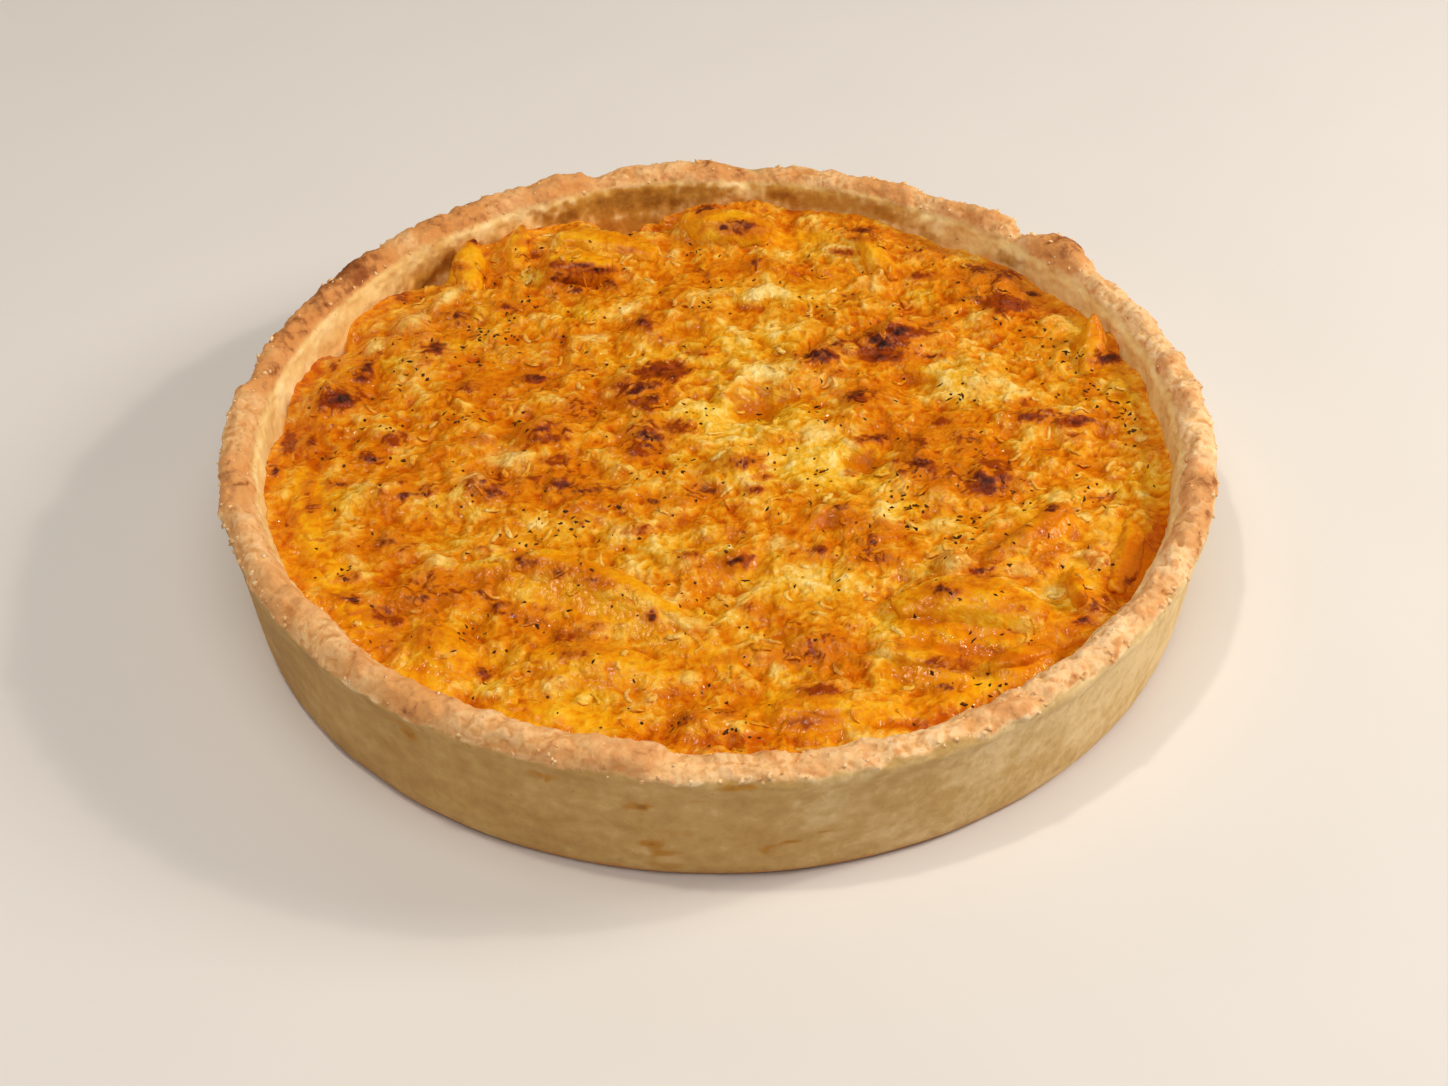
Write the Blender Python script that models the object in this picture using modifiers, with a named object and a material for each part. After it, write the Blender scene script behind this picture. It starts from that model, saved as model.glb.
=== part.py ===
"""A deep round pumpkin tart: a shortcrust case, a set custard filling and slices of pumpkin baked into it.

The tart stands on its flat base with its middle on the Z axis. Blender works in metres, so the sizes
below are written in millimetres times MM. Angles are in degrees, from +X towards +Y.
"""

import math

import bmesh
import bpy
from mathutils import Matrix, Vector, geometry, noise

MM = 0.001

# Crust: the case is turned, then its rim is worked by hand round the edge.
RIM_RADIUS = 122.8 * MM
RIM_HEIGHT = 37.6 * MM
BASE_RADIUS = 119.0 * MM
BASE_EDGE = 1.4 * MM
FLOOR_THICKNESS = 5.0 * MM
FLOOR_EDGE_RADIUS = 106.0 * MM
WALL_FOOT_RADIUS = 110.2 * MM
WALL_FOOT_HEIGHT = 8.0 * MM
WALL_SHOULDER_RADIUS = 113.1 * MM
WALL_SHOULDER_HEIGHT = 29.0 * MM
LIP_RADIUS = 116.2 * MM
RIM_OVERHANG = 0.5 * MM
CRUST_STEPS = 144

# Seeded unevenness: (height in mm, size in mm, seed) of each layer of lumps.
RIM_LUMPS = ((0.75, 8.0, 3.1), (0.5, 3.7, 7.4))
RIM_CRAGS = (0.7, 5.5, 12.7)
WALL_WAVES = (0.35, 16.0, 21.0)
TOP_LUMPS = ((1.7, 15.0, 2.0), (1.3, 8.0, 5.0))
CRAG_SHARE_BELOW_RIM = 0.35
CRAG_CHANGE_PER_HEIGHT = 5.0 * MM
WAVE_CHANGE_PER_HEIGHT = 14.0 * MM

# Filling: a cast of the case's hollow with an uneven baked top.
CLEARANCE = 0.35 * MM
FILLING_LEVEL = 27.4 * MM
MOST_LEVEL_AT_WALL = 28.4 * MM
WALL_STRIP = 7.0 * MM
POCKET_CLEARANCE = 0.45 * MM
LATTICE_SPACING = 5.0 * MM
FILLING_STEPS = 72

# Pumpkin slices: lofts along a bent spine.
SECTION_SIDES = 8
SECTION_SQUARENESS = 0.72
BLUNT_END = 0.6
LEAST_DEPTH_SHARE = 0.55
END_TAPER = (-0.06, 0.3)
SLICE_STATIONS = (0.0, 0.1, 0.35, 0.65, 0.9, 1.0)
SPINE_STEP = 0.01

# Places round the rim: (what it is, angle, reach in degrees, outward swell in mm, rise in mm).
RIM_SWELLS = (
    ("flap at the right back", 38.5, 5.5, 2.3, 2.0),
    ("notch beside the flap", 44.8, 3.0, -2.4, -2.0),
    ("dent before the flap", 30.0, 6.0, -1.0, -0.4),
    ("low back right", 59.0, 6.0, -0.4, -1.8),
    ("long low back", 76.0, 26.0, 0.0, -1.1),
    ("broken dip at the back", 85.5, 4.5, -0.6, -2.2),
    ("nick at the back left", 106.5, 3.0, -0.8, -2.0),
    ("knob at the back left", 111.5, 4.0, 0.4, 1.4),
    ("sag at the left", 156.0, 12.0, -0.6, -0.7),
    ("pinch at the left", 169.5, 6.0, -1.3, -0.3),
    ("full front", 284.0, 26.0, 0.7, 0.0),
    ("knob at the front", 277.0, 5.0, 0.3, -0.7),
    ("crumb at the front left", 262.0, 3.0, 0.5, 0.9),
    ("dent at the right", 18.0, 9.0, -0.4, -0.5),
    ("knob at the front right", 318.0, 5.0, 0.2, 0.7),
)

# Stretches of the rim that stand higher or lower: (which, start angle, end angle, rise in mm).
RIM_STEPS = (
    ("high left front", 198.0, 262.5, 1.7),
    ("low right front", 264.5, 330.0, -1.1),
)
STEP_EASE = 2.5

# Where the inner lip leans out or in: (angle, reach in degrees, move in mm).
LIP_LEANS = (
    (209.0, 6.0, 0.6),
    (221.0, 7.0, -1.6),
    (247.0, 16.0, -1.2),
    (279.0, 4.5, 1.4),
    (285.0, 3.0, -1.2),
    (293.0, 4.5, 1.4),
    (310.0, 7.0, -1.0),
    (60.0, 12.0, 1.0),
    (115.0, 4.0, -2.2),
    (134.0, 7.0, -2.4),
    (146.0, 6.0, 0.9),
    (42.0, 5.0, -1.4),
)

# The baked top: (x, y, reach along x, reach along y, turn, rise), in mm and degrees.
TOP_SWELLS = (
    (4, -8, 9, 8, 0, 3.4),
    (4, -43, 7, 7, 0, 3.0),
    (46, 45, 15, 11, 25, 3.2),
    (27, 36, 10, 9, 0, 2.3),
    (38, 19, 9, 9, 0, 2.0),
    (-98, 19, 10, 9, 0, 3.6),
    (-20, 22, 14, 15, 60, 1.8),
    (-46, 5, 11, 9, 0, 2.0),
    (-56, -17, 12, 9, 0, 2.0),
    (57, -9, 24, 12, -15, 1.8),
    (80, 11, 15, 7, 10, 1.8),
    (-70, -57, 10, 9, 0, 2.0),
    (74, 66, 16, 12, -30, 2.4),
    (-65, 58, 13, 12, 0, 1.6),
    (-22, 51, 10, 9, 0, 2.0),
    (55, -47, 9, 8, 0, 2.4),
    (24, -72, 15, 10, 20, 1.6),
    (-78, -18, 14, 10, 30, 1.4),
    (12, 80, 12, 9, 0, 1.8),
    (36, 62, 14, 10, 0, 1.2),
    (92, 52, 12, 12, 0, 1.2),
    (-4, -98, 15, 8, 0, 2.2),
    (103, 19, 7, 15, 0, 2.4),
    (-93, 32, 8, 11, 0, 2.6),
)

TOP_HOLLOWS = (
    (-23, 105, 21, 10, 0, 9.5),
    (-80, 78, 17, 9, 42, 6.0),
    (-101, 49, 9, 17, 22, 5.0),
    (-110, 10, 6, 17, 0, 5.5),
    (108, 42, 6, 10, 0, 4.0),
    (-38, 71, 12, 6, 0, 3.6),
    (8, 14, 11, 10, 0, 2.6),
    (49, 27, 8, 7, 0, 2.4),
    (35, -9, 8, 8, 0, 2.0),
    (56, -77, 8, 6, -20, 4.5),
    (3, -51, 10, 6, 0, 1.8),
    (104, -46, 6, 15, -24, 5.0),
    (20, -80, 8, 7, 0, 2.0),
    (-76, -62, 8, 5, -40, 3.0),
    (78, -84, 14, 6, 30, 2.5),
    (-60, -30, 14, 9, 0, 1.2),
    (62, 92, 14, 6, -30, 2.0),
)

# Slices: name, start, middle and end of the ridge in mm, width, depth, narrowing of the top, lean, point.
SLICES = (
    ("pumpkin_left_wall", (-102.5, -8, 28), (-100.5, -30, 29), (-89.5, -51, 28), 13, 13, 0.85, -8, 0.6),
    ("pumpkin_left_front", (-86.5, -56, 28), (-82.5, -64, 29), (-74, -74, 27), 13, 12, 0.8, -8, 0.7),
    ("pumpkin_front_left", (-67, -66.5, 29.5), (-63, -73.5, 31), (-56, -84, 28), 15, 13, 0.75, 0, 0.7),
    ("pumpkin_long_ridge", (-57, -48, 30), (-32, -52, 34), (-4, -73, 29), 17, 15, 0.55, -22, 0.45),
    ("pumpkin_front_low", (-43, -78, 29), (-27, -79, 31), (-10, -85, 29), 17, 13, 0.8, -10, 0.6),
    ("pumpkin_front_wall", (-48.5, -90, 28), (-34, -97, 29), (-18, -101, 27.5), 13, 12, 0.8, 0, 0.6),
    ("pumpkin_front_right", (12, -93.5, 29), (27, -95, 31), (42, -92, 28.5), 14, 13, 0.75, 0, 0.6),
    ("pumpkin_right_dome", (41, -62, 29), (59, -59.5, 33.5), (75.5, -67, 30), 21, 14, 0.75, -18, 0.6),
    ("pumpkin_bowl_edge", (36, -75, 29.5), (46, -80, 31), (55.5, -84.5, 29), 9.5, 11, 0.7, 0, 0.6),
    ("pumpkin_right_front", (61, -81.5, 30), (67, -80.5, 31.5), (75, -76, 29.5), 11, 12, 0.7, 0, 0.7),
    ("pumpkin_right_ridge", (65, -48, 30), (76, -39, 34), (85, -30, 33), 12, 15, 0.6, -14, 0.6),
    ("pumpkin_right_wall", (92, -54.5, 27.5), (98, -42, 29.5), (101, -26, 28), 10.5, 12, 0.85, 8, 0.6),
    ("pumpkin_right_tip", (83.5, -63.5, 33.5), (83.5, -56, 32), (84, -47.5, 29), 9, 13, 0.55, 0, 0.4),
    ("pumpkin_back_right", (41, 92, 33.5), (44, 83, 32), (49, 73, 29), 12, 14, 0.6, 0, 0.35),
    ("pumpkin_wall_tip", (99.5, 45, 37), (99, 39, 33), (96.5, 29, 29), 10, 13, 0.7, 0, 0.18),
    ("pumpkin_back", (-10, 100, 32), (2, 97, 35), (15, 93.5, 33), 18, 17, 0.7, 0, 0.55),
    ("pumpkin_back_left", (-45, 92, 31), (-33, 91, 32), (-17, 86, 30), 14, 13, 0.8, 0, 0.6),
    ("pumpkin_back_tip", (-54.5, 94.5, 34), (-56, 88, 32), (-55.5, 79, 29), 10, 14, 0.7, 0, 0.28),
    ("pumpkin_block", (-47, 77, 32.5), (-38, 77.5, 33.5), (-29, 77, 32.5), 12, 13, 0.95, 0, 0.85),
    ("pumpkin_left_tip", (-67.5, 86, 34.5), (-69, 79, 33), (-68, 68, 29.5), 15, 15, 0.55, 0, 0.18),
)

# Onion, cheese and charred bits that stick up: (x, y, length, width, height, turn), in mm and degrees.
CRISP_BITS = (
    (-81, 51, 12, 9, 7, 60),
    (-75, 60, 12, 5, 5, 70),
    (55, -46, 9, 7, 6, 50),
    (13, 66, 11, 8, 4, 10),
    (-49, -6, 12, 7, 5, 30),
    (66, 25, 12, 7, 4, 120),
    (5, -8, 9, 6, 6, 20),
    (4, -44, 8, 5, 6, 10),
    (-15, -59, 5, 4, 6, 0),
    (46, 46, 12, 7, 7, 40),
    (27, 37, 9, 6, 6, 45),
    (-99, 19, 7, 6, 6, 80),
    (-46, 5, 9, 6, 5, -20),
    (-57, -17, 8, 5, 5, -40),
    (-20, 6, 11, 5, 4, -35),
    (50, -9, 11, 6, 5, 70),
    (65, -13, 10, 5, 5, -60),
    (80, 11, 11, 5, 4, 15),
)
BIT_SUNK = 0.45


def smooth_step(value, low, high):
    t = min(max((value - low) / (high - low), 0.0), 1.0)
    return t * t * (3 - 2 * t)


def turn_between(angle, centre):
    return (angle - centre + 180) % 360 - 180


def swell(distance, reach):
    """1 at no distance, easing to 0 at the reach."""
    share = min(abs(distance) / reach, 1.0)
    return 0.5 + 0.5 * math.cos(math.pi * share)


def stretch(angle, start, end):
    """1 between two angles, easing to 0 over a couple of degrees at each end."""
    middle = (start + end) / 2
    half = (end - start) / 2
    return 1 - smooth_step(abs(turn_between(angle, middle)), half - STEP_EASE, half + STEP_EASE)


def knobs(x, y, size, seed):
    """Seeded lumps between -1 and 1, as large as the size given."""
    return noise.noise(Vector((x / size, y / size, seed)))


def layered_knobs(x, y, layers):
    """Lumps of several sizes together, in mm."""
    return sum(tall * knobs(x, y, size, seed) for tall, size, seed in layers)


def rim_move(angle):
    """How far the rim stands out and up at an angle."""
    out = sum(outward * swell(turn_between(angle, at), reach) for _, at, reach, outward, _ in RIM_SWELLS)
    rise = sum(upward * swell(turn_between(angle, at), reach) for _, at, reach, _, upward in RIM_SWELLS)
    rise += sum(upward * stretch(angle, start, end) for _, start, end, upward in RIM_STEPS)
    return out * MM, rise * MM


def lip_move(angle):
    return MM * sum(move * swell(turn_between(angle, at), reach) for at, reach, move in LIP_LEANS)


def wall_radius(height):
    """The inner face of the case, up to its shoulder."""
    share = (height - WALL_FOOT_HEIGHT) / (WALL_SHOULDER_HEIGHT - WALL_FOOT_HEIGHT)
    return WALL_FOOT_RADIUS + share * (WALL_SHOULDER_RADIUS - WALL_FOOT_RADIUS)


def outer_radius(height):
    """The outer face of the case, which widens towards the rim."""
    return BASE_RADIUS + (RIM_RADIUS - BASE_RADIUS) * height / RIM_HEIGHT


def crust_profile():
    """From the middle of the floor out, up the inner wall, over the rim and down the outside."""
    return (
        (0, FLOOR_THICKNESS),
        (FLOOR_EDGE_RADIUS, FLOOR_THICKNESS),
        (WALL_FOOT_RADIUS, WALL_FOOT_HEIGHT),
        (WALL_SHOULDER_RADIUS, WALL_SHOULDER_HEIGHT),
        (WALL_SHOULDER_RADIUS + 0.9 * MM, RIM_HEIGHT - 4.6 * MM),
        (LIP_RADIUS - 0.6 * MM, RIM_HEIGHT - 2.0 * MM),
        (LIP_RADIUS + 1.0 * MM, RIM_HEIGHT - 0.4 * MM),
        (LIP_RADIUS + 3.2 * MM, RIM_HEIGHT),
        (RIM_RADIUS - 1.2 * MM, RIM_HEIGHT - 0.5 * MM),
        (RIM_RADIUS + 0.1 * MM, RIM_HEIGHT - 2.2 * MM),
        (RIM_RADIUS + RIM_OVERHANG, RIM_HEIGHT - 4.6 * MM),
        (outer_radius(RIM_HEIGHT - 8 * MM), RIM_HEIGHT - 8 * MM),
        (outer_radius(RIM_HEIGHT * 0.46), RIM_HEIGHT * 0.46),
        (outer_radius(RIM_HEIGHT * 0.18), RIM_HEIGHT * 0.18),
        (BASE_RADIUS, BASE_EDGE),
        (BASE_RADIUS - BASE_EDGE, 0),
        (0, 0),
    )


def worked_crust_point(point):
    """Moves a point of the plain turned case to where the hand-worked case has it."""
    radius = math.hypot(point.x, point.y)
    if radius < WALL_FOOT_RADIUS or point.z < BASE_EDGE / 2:
        return point
    angle = math.degrees(math.atan2(point.y, point.x))
    outer = smooth_step(radius, LIP_RADIUS, RIM_RADIUS - 2 * MM)
    top = smooth_step(point.z, WALL_SHOULDER_HEIGHT, RIM_HEIGHT)
    out, rise = rim_move(angle)
    x, y = point.x / MM, point.y / MM
    radius += outer * smooth_step(point.z, BASE_EDGE, RIM_HEIGHT) * out
    radius += (1 - outer) * top * lip_move(angle)
    if point.z > WALL_SHOULDER_HEIGHT:
        tall, size, seed = RIM_CRAGS
        share = CRAG_SHARE_BELOW_RIM + (1 - CRAG_SHARE_BELOW_RIM) * top
        radius += share * tall * MM * knobs(x, y, size, seed + point.z / CRAG_CHANGE_PER_HEIGHT)
    else:
        tall, size, seed = WALL_WAVES
        radius += outer * tall * MM * knobs(x, y, size, seed + point.z / WAVE_CHANGE_PER_HEIGHT)
    height = point.z + top * (rise + layered_knobs(x, y, RIM_LUMPS) * MM)
    direction = math.radians(angle)
    return Vector((radius * math.cos(direction), radius * math.sin(direction), height))


def oval(x, y, centre_x, centre_y, reach_x, reach_y, turn):
    """1 at the middle of a turned oval, easing to 0 at its edge."""
    direction = math.radians(turn)
    dx = x - centre_x
    dy = y - centre_y
    along = dx * math.cos(direction) + dy * math.sin(direction)
    across = dy * math.cos(direction) - dx * math.sin(direction)
    return swell(math.hypot(along / reach_x, across / reach_y), 1.0)


def filling_height(x, y):
    """The level of the baked custard at a place given in metres."""
    u, v = x / MM, y / MM
    rise = sum(up * oval(u, v, *place) for *place, up in TOP_SWELLS)
    rise -= sum(down * oval(u, v, *place) for *place, down in TOP_HOLLOWS)
    rise += layered_knobs(u, v, TOP_LUMPS)
    height = FILLING_LEVEL + rise * MM
    wall = wall_radius(FILLING_LEVEL)
    near_wall = smooth_step(math.hypot(x, y), wall - WALL_STRIP, wall)
    limited = min(height, MOST_LEVEL_AT_WALL)
    return height + near_wall * (limited - height)


def lattice_inside(radius):
    """Evenly spaced points on a triangular lattice that lie inside a circle."""
    row_step = LATTICE_SPACING * math.sqrt(3) / 2
    rows = int(radius / row_step) + 1
    columns = int(radius / LATTICE_SPACING) + 1
    found = []
    for row in range(-rows, rows + 1):
        for column in range(-columns, columns + 1):
            place = Vector(((column + (row % 2) / 2) * LATTICE_SPACING, row * row_step))
            if place.length < radius:
                found.append(place)
    return found


def circle_point(radius, index, height):
    direction = 2 * math.pi * index / FILLING_STEPS
    return Vector((radius * math.cos(direction), radius * math.sin(direction), height))


def make_object(name, mesh, collection, material=None):
    made = bpy.data.objects.new(name, mesh)
    collection.objects.link(made)
    if material:
        mesh.materials.append(material)
    return made


def mesh_from(name, form):
    bmesh.ops.recalc_face_normals(form, faces=form.faces)
    mesh = bpy.data.meshes.new(name)
    form.to_mesh(mesh)
    form.free()
    return mesh


def smooth_shaded(mesh, sharp_angle):
    mesh.shade_smooth()
    mesh.set_sharp_from_angle(angle=math.radians(sharp_angle))


def make_crust(collection, material):
    """Turns the case's profile about the Z axis, then works the rim and the walls."""
    form = bmesh.new()
    points = [form.verts.new((radius, 0, height)) for radius, height in crust_profile()]
    for first, second in zip(points, points[1:]):
        form.edges.new((first, second))
    mesh = bpy.data.meshes.new("crust_profile")
    form.to_mesh(mesh)
    form.free()
    profile = make_object("crust_profile", mesh, collection)
    screw = profile.modifiers.new("Turn", "SCREW")
    screw.axis = "Z"
    screw.steps = CRUST_STEPS
    screw.render_steps = CRUST_STEPS
    screw.use_merge_vertices = True
    screw.merge_threshold = 0.01 * MM
    bpy.context.view_layer.update()
    turned = profile.evaluated_get(bpy.context.evaluated_depsgraph_get())
    crust_mesh = bpy.data.meshes.new_from_object(turned)
    crust_mesh.name = "crust"
    bpy.data.objects.remove(profile)
    for vertex in crust_mesh.vertices:
        vertex.co = worked_crust_point(vertex.co)
    smooth_shaded(crust_mesh, 50)
    return make_object("crust", crust_mesh, collection, material)


def make_filling(collection, material):
    """The custard: a triangulated uneven top over a plain turned body."""
    rim = wall_radius(FILLING_LEVEL) - CLEARANCE
    plan = [circle_point(rim, index, 0).to_2d() for index in range(FILLING_STEPS)]
    plan += lattice_inside(rim - LATTICE_SPACING * 0.55)
    flat, _, faces, *_ = geometry.delaunay_2d_cdt(plan, [], [], 0, 0.001 * MM)
    form = bmesh.new()
    top = []
    for index, place in enumerate(flat):
        height = filling_height(place.x, place.y)
        if index < FILLING_STEPS:
            top.append(form.verts.new(circle_point(wall_radius(height) - CLEARANCE, index, height)))
        else:
            top.append(form.verts.new((place.x, place.y, height)))
    for face in faces:
        form.faces.new([top[index] for index in face])
    rings = [top[:FILLING_STEPS]]
    foot = (WALL_FOOT_RADIUS - CLEARANCE, WALL_FOOT_HEIGHT + CLEARANCE * 0.7)
    floor = (FLOOR_EDGE_RADIUS - CLEARANCE, FLOOR_THICKNESS + CLEARANCE)
    for radius, height in (foot, floor):
        rings.append([form.verts.new(circle_point(radius, index, height)) for index in range(FILLING_STEPS)])
    for upper, lower in zip(rings, rings[1:]):
        for index in range(FILLING_STEPS):
            after = (index + 1) % FILLING_STEPS
            form.faces.new((upper[index], upper[after], lower[after], lower[index]))
    form.faces.new(rings[-1])
    mesh = mesh_from("filling", form)
    smooth_shaded(mesh, 50)
    return make_object("filling", mesh, collection, material)


def section(width, depth, top_width):
    """A rounded slab's outline across the spine: (sideways, up), narrower at the top."""
    outline = []
    for side in range(SECTION_SIDES):
        direction = 2 * math.pi * (side + 0.5) / SECTION_SIDES
        across = math.copysign(abs(math.cos(direction)) ** SECTION_SQUARENESS, math.cos(direction))
        up = math.copysign(abs(math.sin(direction)) ** SECTION_SQUARENESS, math.sin(direction))
        narrowing = 1 + (top_width - 1) * (up + 1) / 2
        outline.append((across * narrowing * width / 2, up * depth / 2))
    return outline


def spine_point(start, middle, end, share):
    """A curve that passes through all three points."""
    bend = middle * 2 - (start + end) / 2
    return start * (1 - share) ** 2 + bend * 2 * share * (1 - share) + end * share**2


def slice_mesh(name, ridge, width, depth, top_width, lean, point, grow=0.0):
    """Lofts a section along a ridge line, smaller at the ends. Grow thickens it by that much all over."""
    start, middle, end = (Vector(place) * MM for place in ridge)
    form = bmesh.new()
    rings = []
    for share in SLICE_STATIONS:
        place = spine_point(start, middle, end, share)
        before = spine_point(start, middle, end, share - SPINE_STEP)
        ahead = spine_point(start, middle, end, share + SPINE_STEP) - before
        upward = Vector((0, 0, 1))
        across = ahead.cross(upward).normalized()
        leaning = Matrix.Rotation(math.radians(lean), 3, upward.cross(across))
        taper = smooth_step(min(share, 1 - share), *END_TAPER)
        blunt = point if share < 0.5 else BLUNT_END
        size = blunt + (1 - blunt) * taper
        local_depth = depth * (LEAST_DEPTH_SHARE + (1 - LEAST_DEPTH_SHARE) * size)
        centre = place - upward * local_depth * MM / 2
        ring = []
        for sideways, up in section(width * size, local_depth, top_width):
            offset = leaning @ (across * sideways + upward * up) * MM
            ring.append(form.verts.new(centre + offset))
        rings.append(ring)
    for first, second in zip(rings, rings[1:]):
        for side in range(SECTION_SIDES):
            after = (side + 1) % SECTION_SIDES
            form.faces.new((first[side], first[after], second[after], second[side]))
    form.faces.new(rings[0])
    form.faces.new(rings[-1])
    bmesh.ops.recalc_face_normals(form, faces=form.faces)
    if grow:
        form.normal_update()
        for vertex in form.verts:
            vertex.co += vertex.normal * grow * vertex.calc_shell_factor()
    bmesh.ops.triangulate(form, faces=form.faces)
    mesh = mesh_from(name, form)
    smooth_shaded(mesh, 60)
    return mesh


def make_slices(collection, pockets, material):
    """One slice per entry, and a slightly larger cutter that presses its pocket into the filling."""
    for name, start, middle, end, *shape in SLICES:
        make_object(name, slice_mesh(name, (start, middle, end), *shape), collection, material)
        pocket_mesh = slice_mesh(name + "_pocket", (start, middle, end), *shape, grow=POCKET_CLEARANCE)
        make_object(name + "_pocket", pocket_mesh, pockets)


def make_bits(collection):
    """Low-sided lumps, sunk a little under half into the baked top."""
    for x, y, length, width, height, turn in CRISP_BITS:
        form = bmesh.new()
        bmesh.ops.create_icosphere(form, subdivisions=1, radius=0.5)
        place = Vector((x * MM, y * MM, 0))
        place.z = filling_height(place.x, place.y) + height * MM * (0.5 - BIT_SUNK) / 2
        turning = Matrix.Rotation(math.radians(turn), 4, "Z")
        shape = Matrix.Diagonal((length * MM, width * MM, height * MM, 1))
        form.transform(Matrix.Translation(place) @ turning @ shape)
        make_object("crisp_bit", mesh_from("crisp_bit", form), collection)


def apply_boolean(target, operation, tools):
    """Joins or cuts every object of a collection in one Boolean, applies it and removes the collection."""
    modifier = target.modifiers.new("Work", "BOOLEAN")
    modifier.operation = operation
    modifier.operand_type = "COLLECTION"
    modifier.collection = tools
    bpy.context.view_layer.update()
    worked = bpy.data.meshes.new_from_object(target.evaluated_get(bpy.context.evaluated_depsgraph_get()))
    target.modifiers.remove(modifier)
    target.data = worked
    for tool in list(tools.objects):
        bpy.data.objects.remove(tool)
    bpy.data.collections.remove(tools)


def island_of(start):
    """Every face joined to a face through shared edges."""
    found = {start}
    waiting = [start]
    while waiting:
        face = waiting.pop()
        for edge in face.edges:
            for neighbour in edge.link_faces:
                if neighbour not in found:
                    found.add(neighbour)
                    waiting.append(neighbour)
    return found


def drop_scraps(target):
    """Keeps the largest body, so no crumb cut loose between two pockets is left in the air."""
    form = bmesh.new()
    form.from_mesh(target.data)
    left = set(form.faces)
    islands = []
    while left:
        island = island_of(next(iter(left)))
        islands.append(island)
        left -= island
    largest = max(islands, key=len)
    scraps = [face for face in form.faces if face not in largest]
    bmesh.ops.delete(form, geom=scraps, context="FACES")
    form.to_mesh(target.data)
    form.free()


def make_material(name, colour, roughness):
    material = bpy.data.materials.new(name)
    material.use_nodes = True
    shader = material.node_tree.nodes["Principled BSDF"]
    shader.inputs["Base Color"].default_value = (*colour, 1)
    shader.inputs["Roughness"].default_value = roughness
    shader.inputs["Metallic"].default_value = 0
    material.diffuse_color = (*colour, 1)
    return material


def new_collection(name):
    made = bpy.data.collections.new(name)
    bpy.context.scene.collection.children.link(made)
    return made


def main():
    for old in list(bpy.data.objects):
        bpy.data.objects.remove(old)
    tart = new_collection("pumpkin_tart")
    pockets = new_collection("slice_pockets")
    bits = new_collection("crisp_bits")
    pastry = make_material("baked_pastry", (0.68, 0.45, 0.20), 0.7)
    custard = make_material("baked_custard", (0.72, 0.36, 0.05), 0.4)
    pumpkin = make_material("roast_pumpkin", (0.82, 0.33, 0.02), 0.35)
    make_crust(tart, pastry)
    filling = make_filling(tart, custard)
    make_bits(bits)
    apply_boolean(filling, "UNION", bits)
    make_slices(tart, pockets, pumpkin)
    apply_boolean(filling, "DIFFERENCE", pockets)
    drop_scraps(filling)


main()
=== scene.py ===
"""A pumpkin tart, dressed: a toasted shortcrust case, a glossy baked custard with a browned top,
the twenty slices of pumpkin that stand out of it, shreds of browned cheese, herb flecks and
pastry crumbs. Lengths are in millimetres until a mesh is made, and angles in degrees."""
import math
from types import SimpleNamespace

import bmesh
import bpy
import numpy as np
from mathutils import Matrix, Vector
from mathutils.bvhtree import BVHTree


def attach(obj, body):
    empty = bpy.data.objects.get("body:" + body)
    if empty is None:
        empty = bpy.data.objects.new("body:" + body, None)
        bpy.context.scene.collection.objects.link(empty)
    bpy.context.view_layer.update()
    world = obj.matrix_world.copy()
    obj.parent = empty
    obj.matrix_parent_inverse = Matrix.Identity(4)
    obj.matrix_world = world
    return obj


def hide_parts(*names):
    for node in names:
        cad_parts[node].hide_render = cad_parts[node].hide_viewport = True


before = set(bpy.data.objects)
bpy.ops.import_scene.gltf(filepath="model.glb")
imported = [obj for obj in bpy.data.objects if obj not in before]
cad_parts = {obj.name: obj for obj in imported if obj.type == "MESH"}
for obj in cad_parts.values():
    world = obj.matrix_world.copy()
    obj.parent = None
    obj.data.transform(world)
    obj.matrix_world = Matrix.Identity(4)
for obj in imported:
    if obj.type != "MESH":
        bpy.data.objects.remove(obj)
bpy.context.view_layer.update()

MM = 0.001
SEED = 41

# The camera, in millimetres and degrees.
EYE = np.array((1.353, -455.85, 386.23))
ELEVATION = 40.611
ROLL = -0.39
LENS = 57.18
SENSOR = 36.0

# Spots are listed where they show on the level plane at the first height. Rays that look for
# the top fall from the second.
LEVEL = 28.0
SKY = 60.0

# The custard: cells across, how far its edge runs into the wall, the height of its underside,
# the height where its radius is measured, how much wider it is at the top, and its mean radius.
TOP_STEPS = 300
EDGE_OVERLAP = 1.1
UNDERSIDE = 6.0
REACH_LEVEL = 11.0
WALL_LEAN = 2.2
MEAN_REACH = 113.0

# The case: how many rows of points it has round and down its parts, radius and height of the
# rim's middle, the lowest height inside, the height where the toasted rim starts, and at which
# angles are the thick lip in front, the pits, and the middle of the side with painted light, paler
# as if lit from the right. Rays find the rim from RIM_RAY.
CASE_TURNS = 1080
WALL_ROWS = 28
RIM_ROWS = 34
INSIDE_ROWS = 18
RIM_CENTRE = (118.0, 31.0)
RIM_RAY = 30.0
INSIDE_FOOT = 14.0
TOASTED_FROM = 34.7
FRONT_LIP_AT = 268
PITS_AT = 338
PAINTED_LIGHT_AT = 335

# Slices: the size of their faces, and what shares of their height the custard climbs on them
# and around them.
SLICE_VOXEL = 0.75
WRAP = 0.76
SKIRT = 0.92

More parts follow.
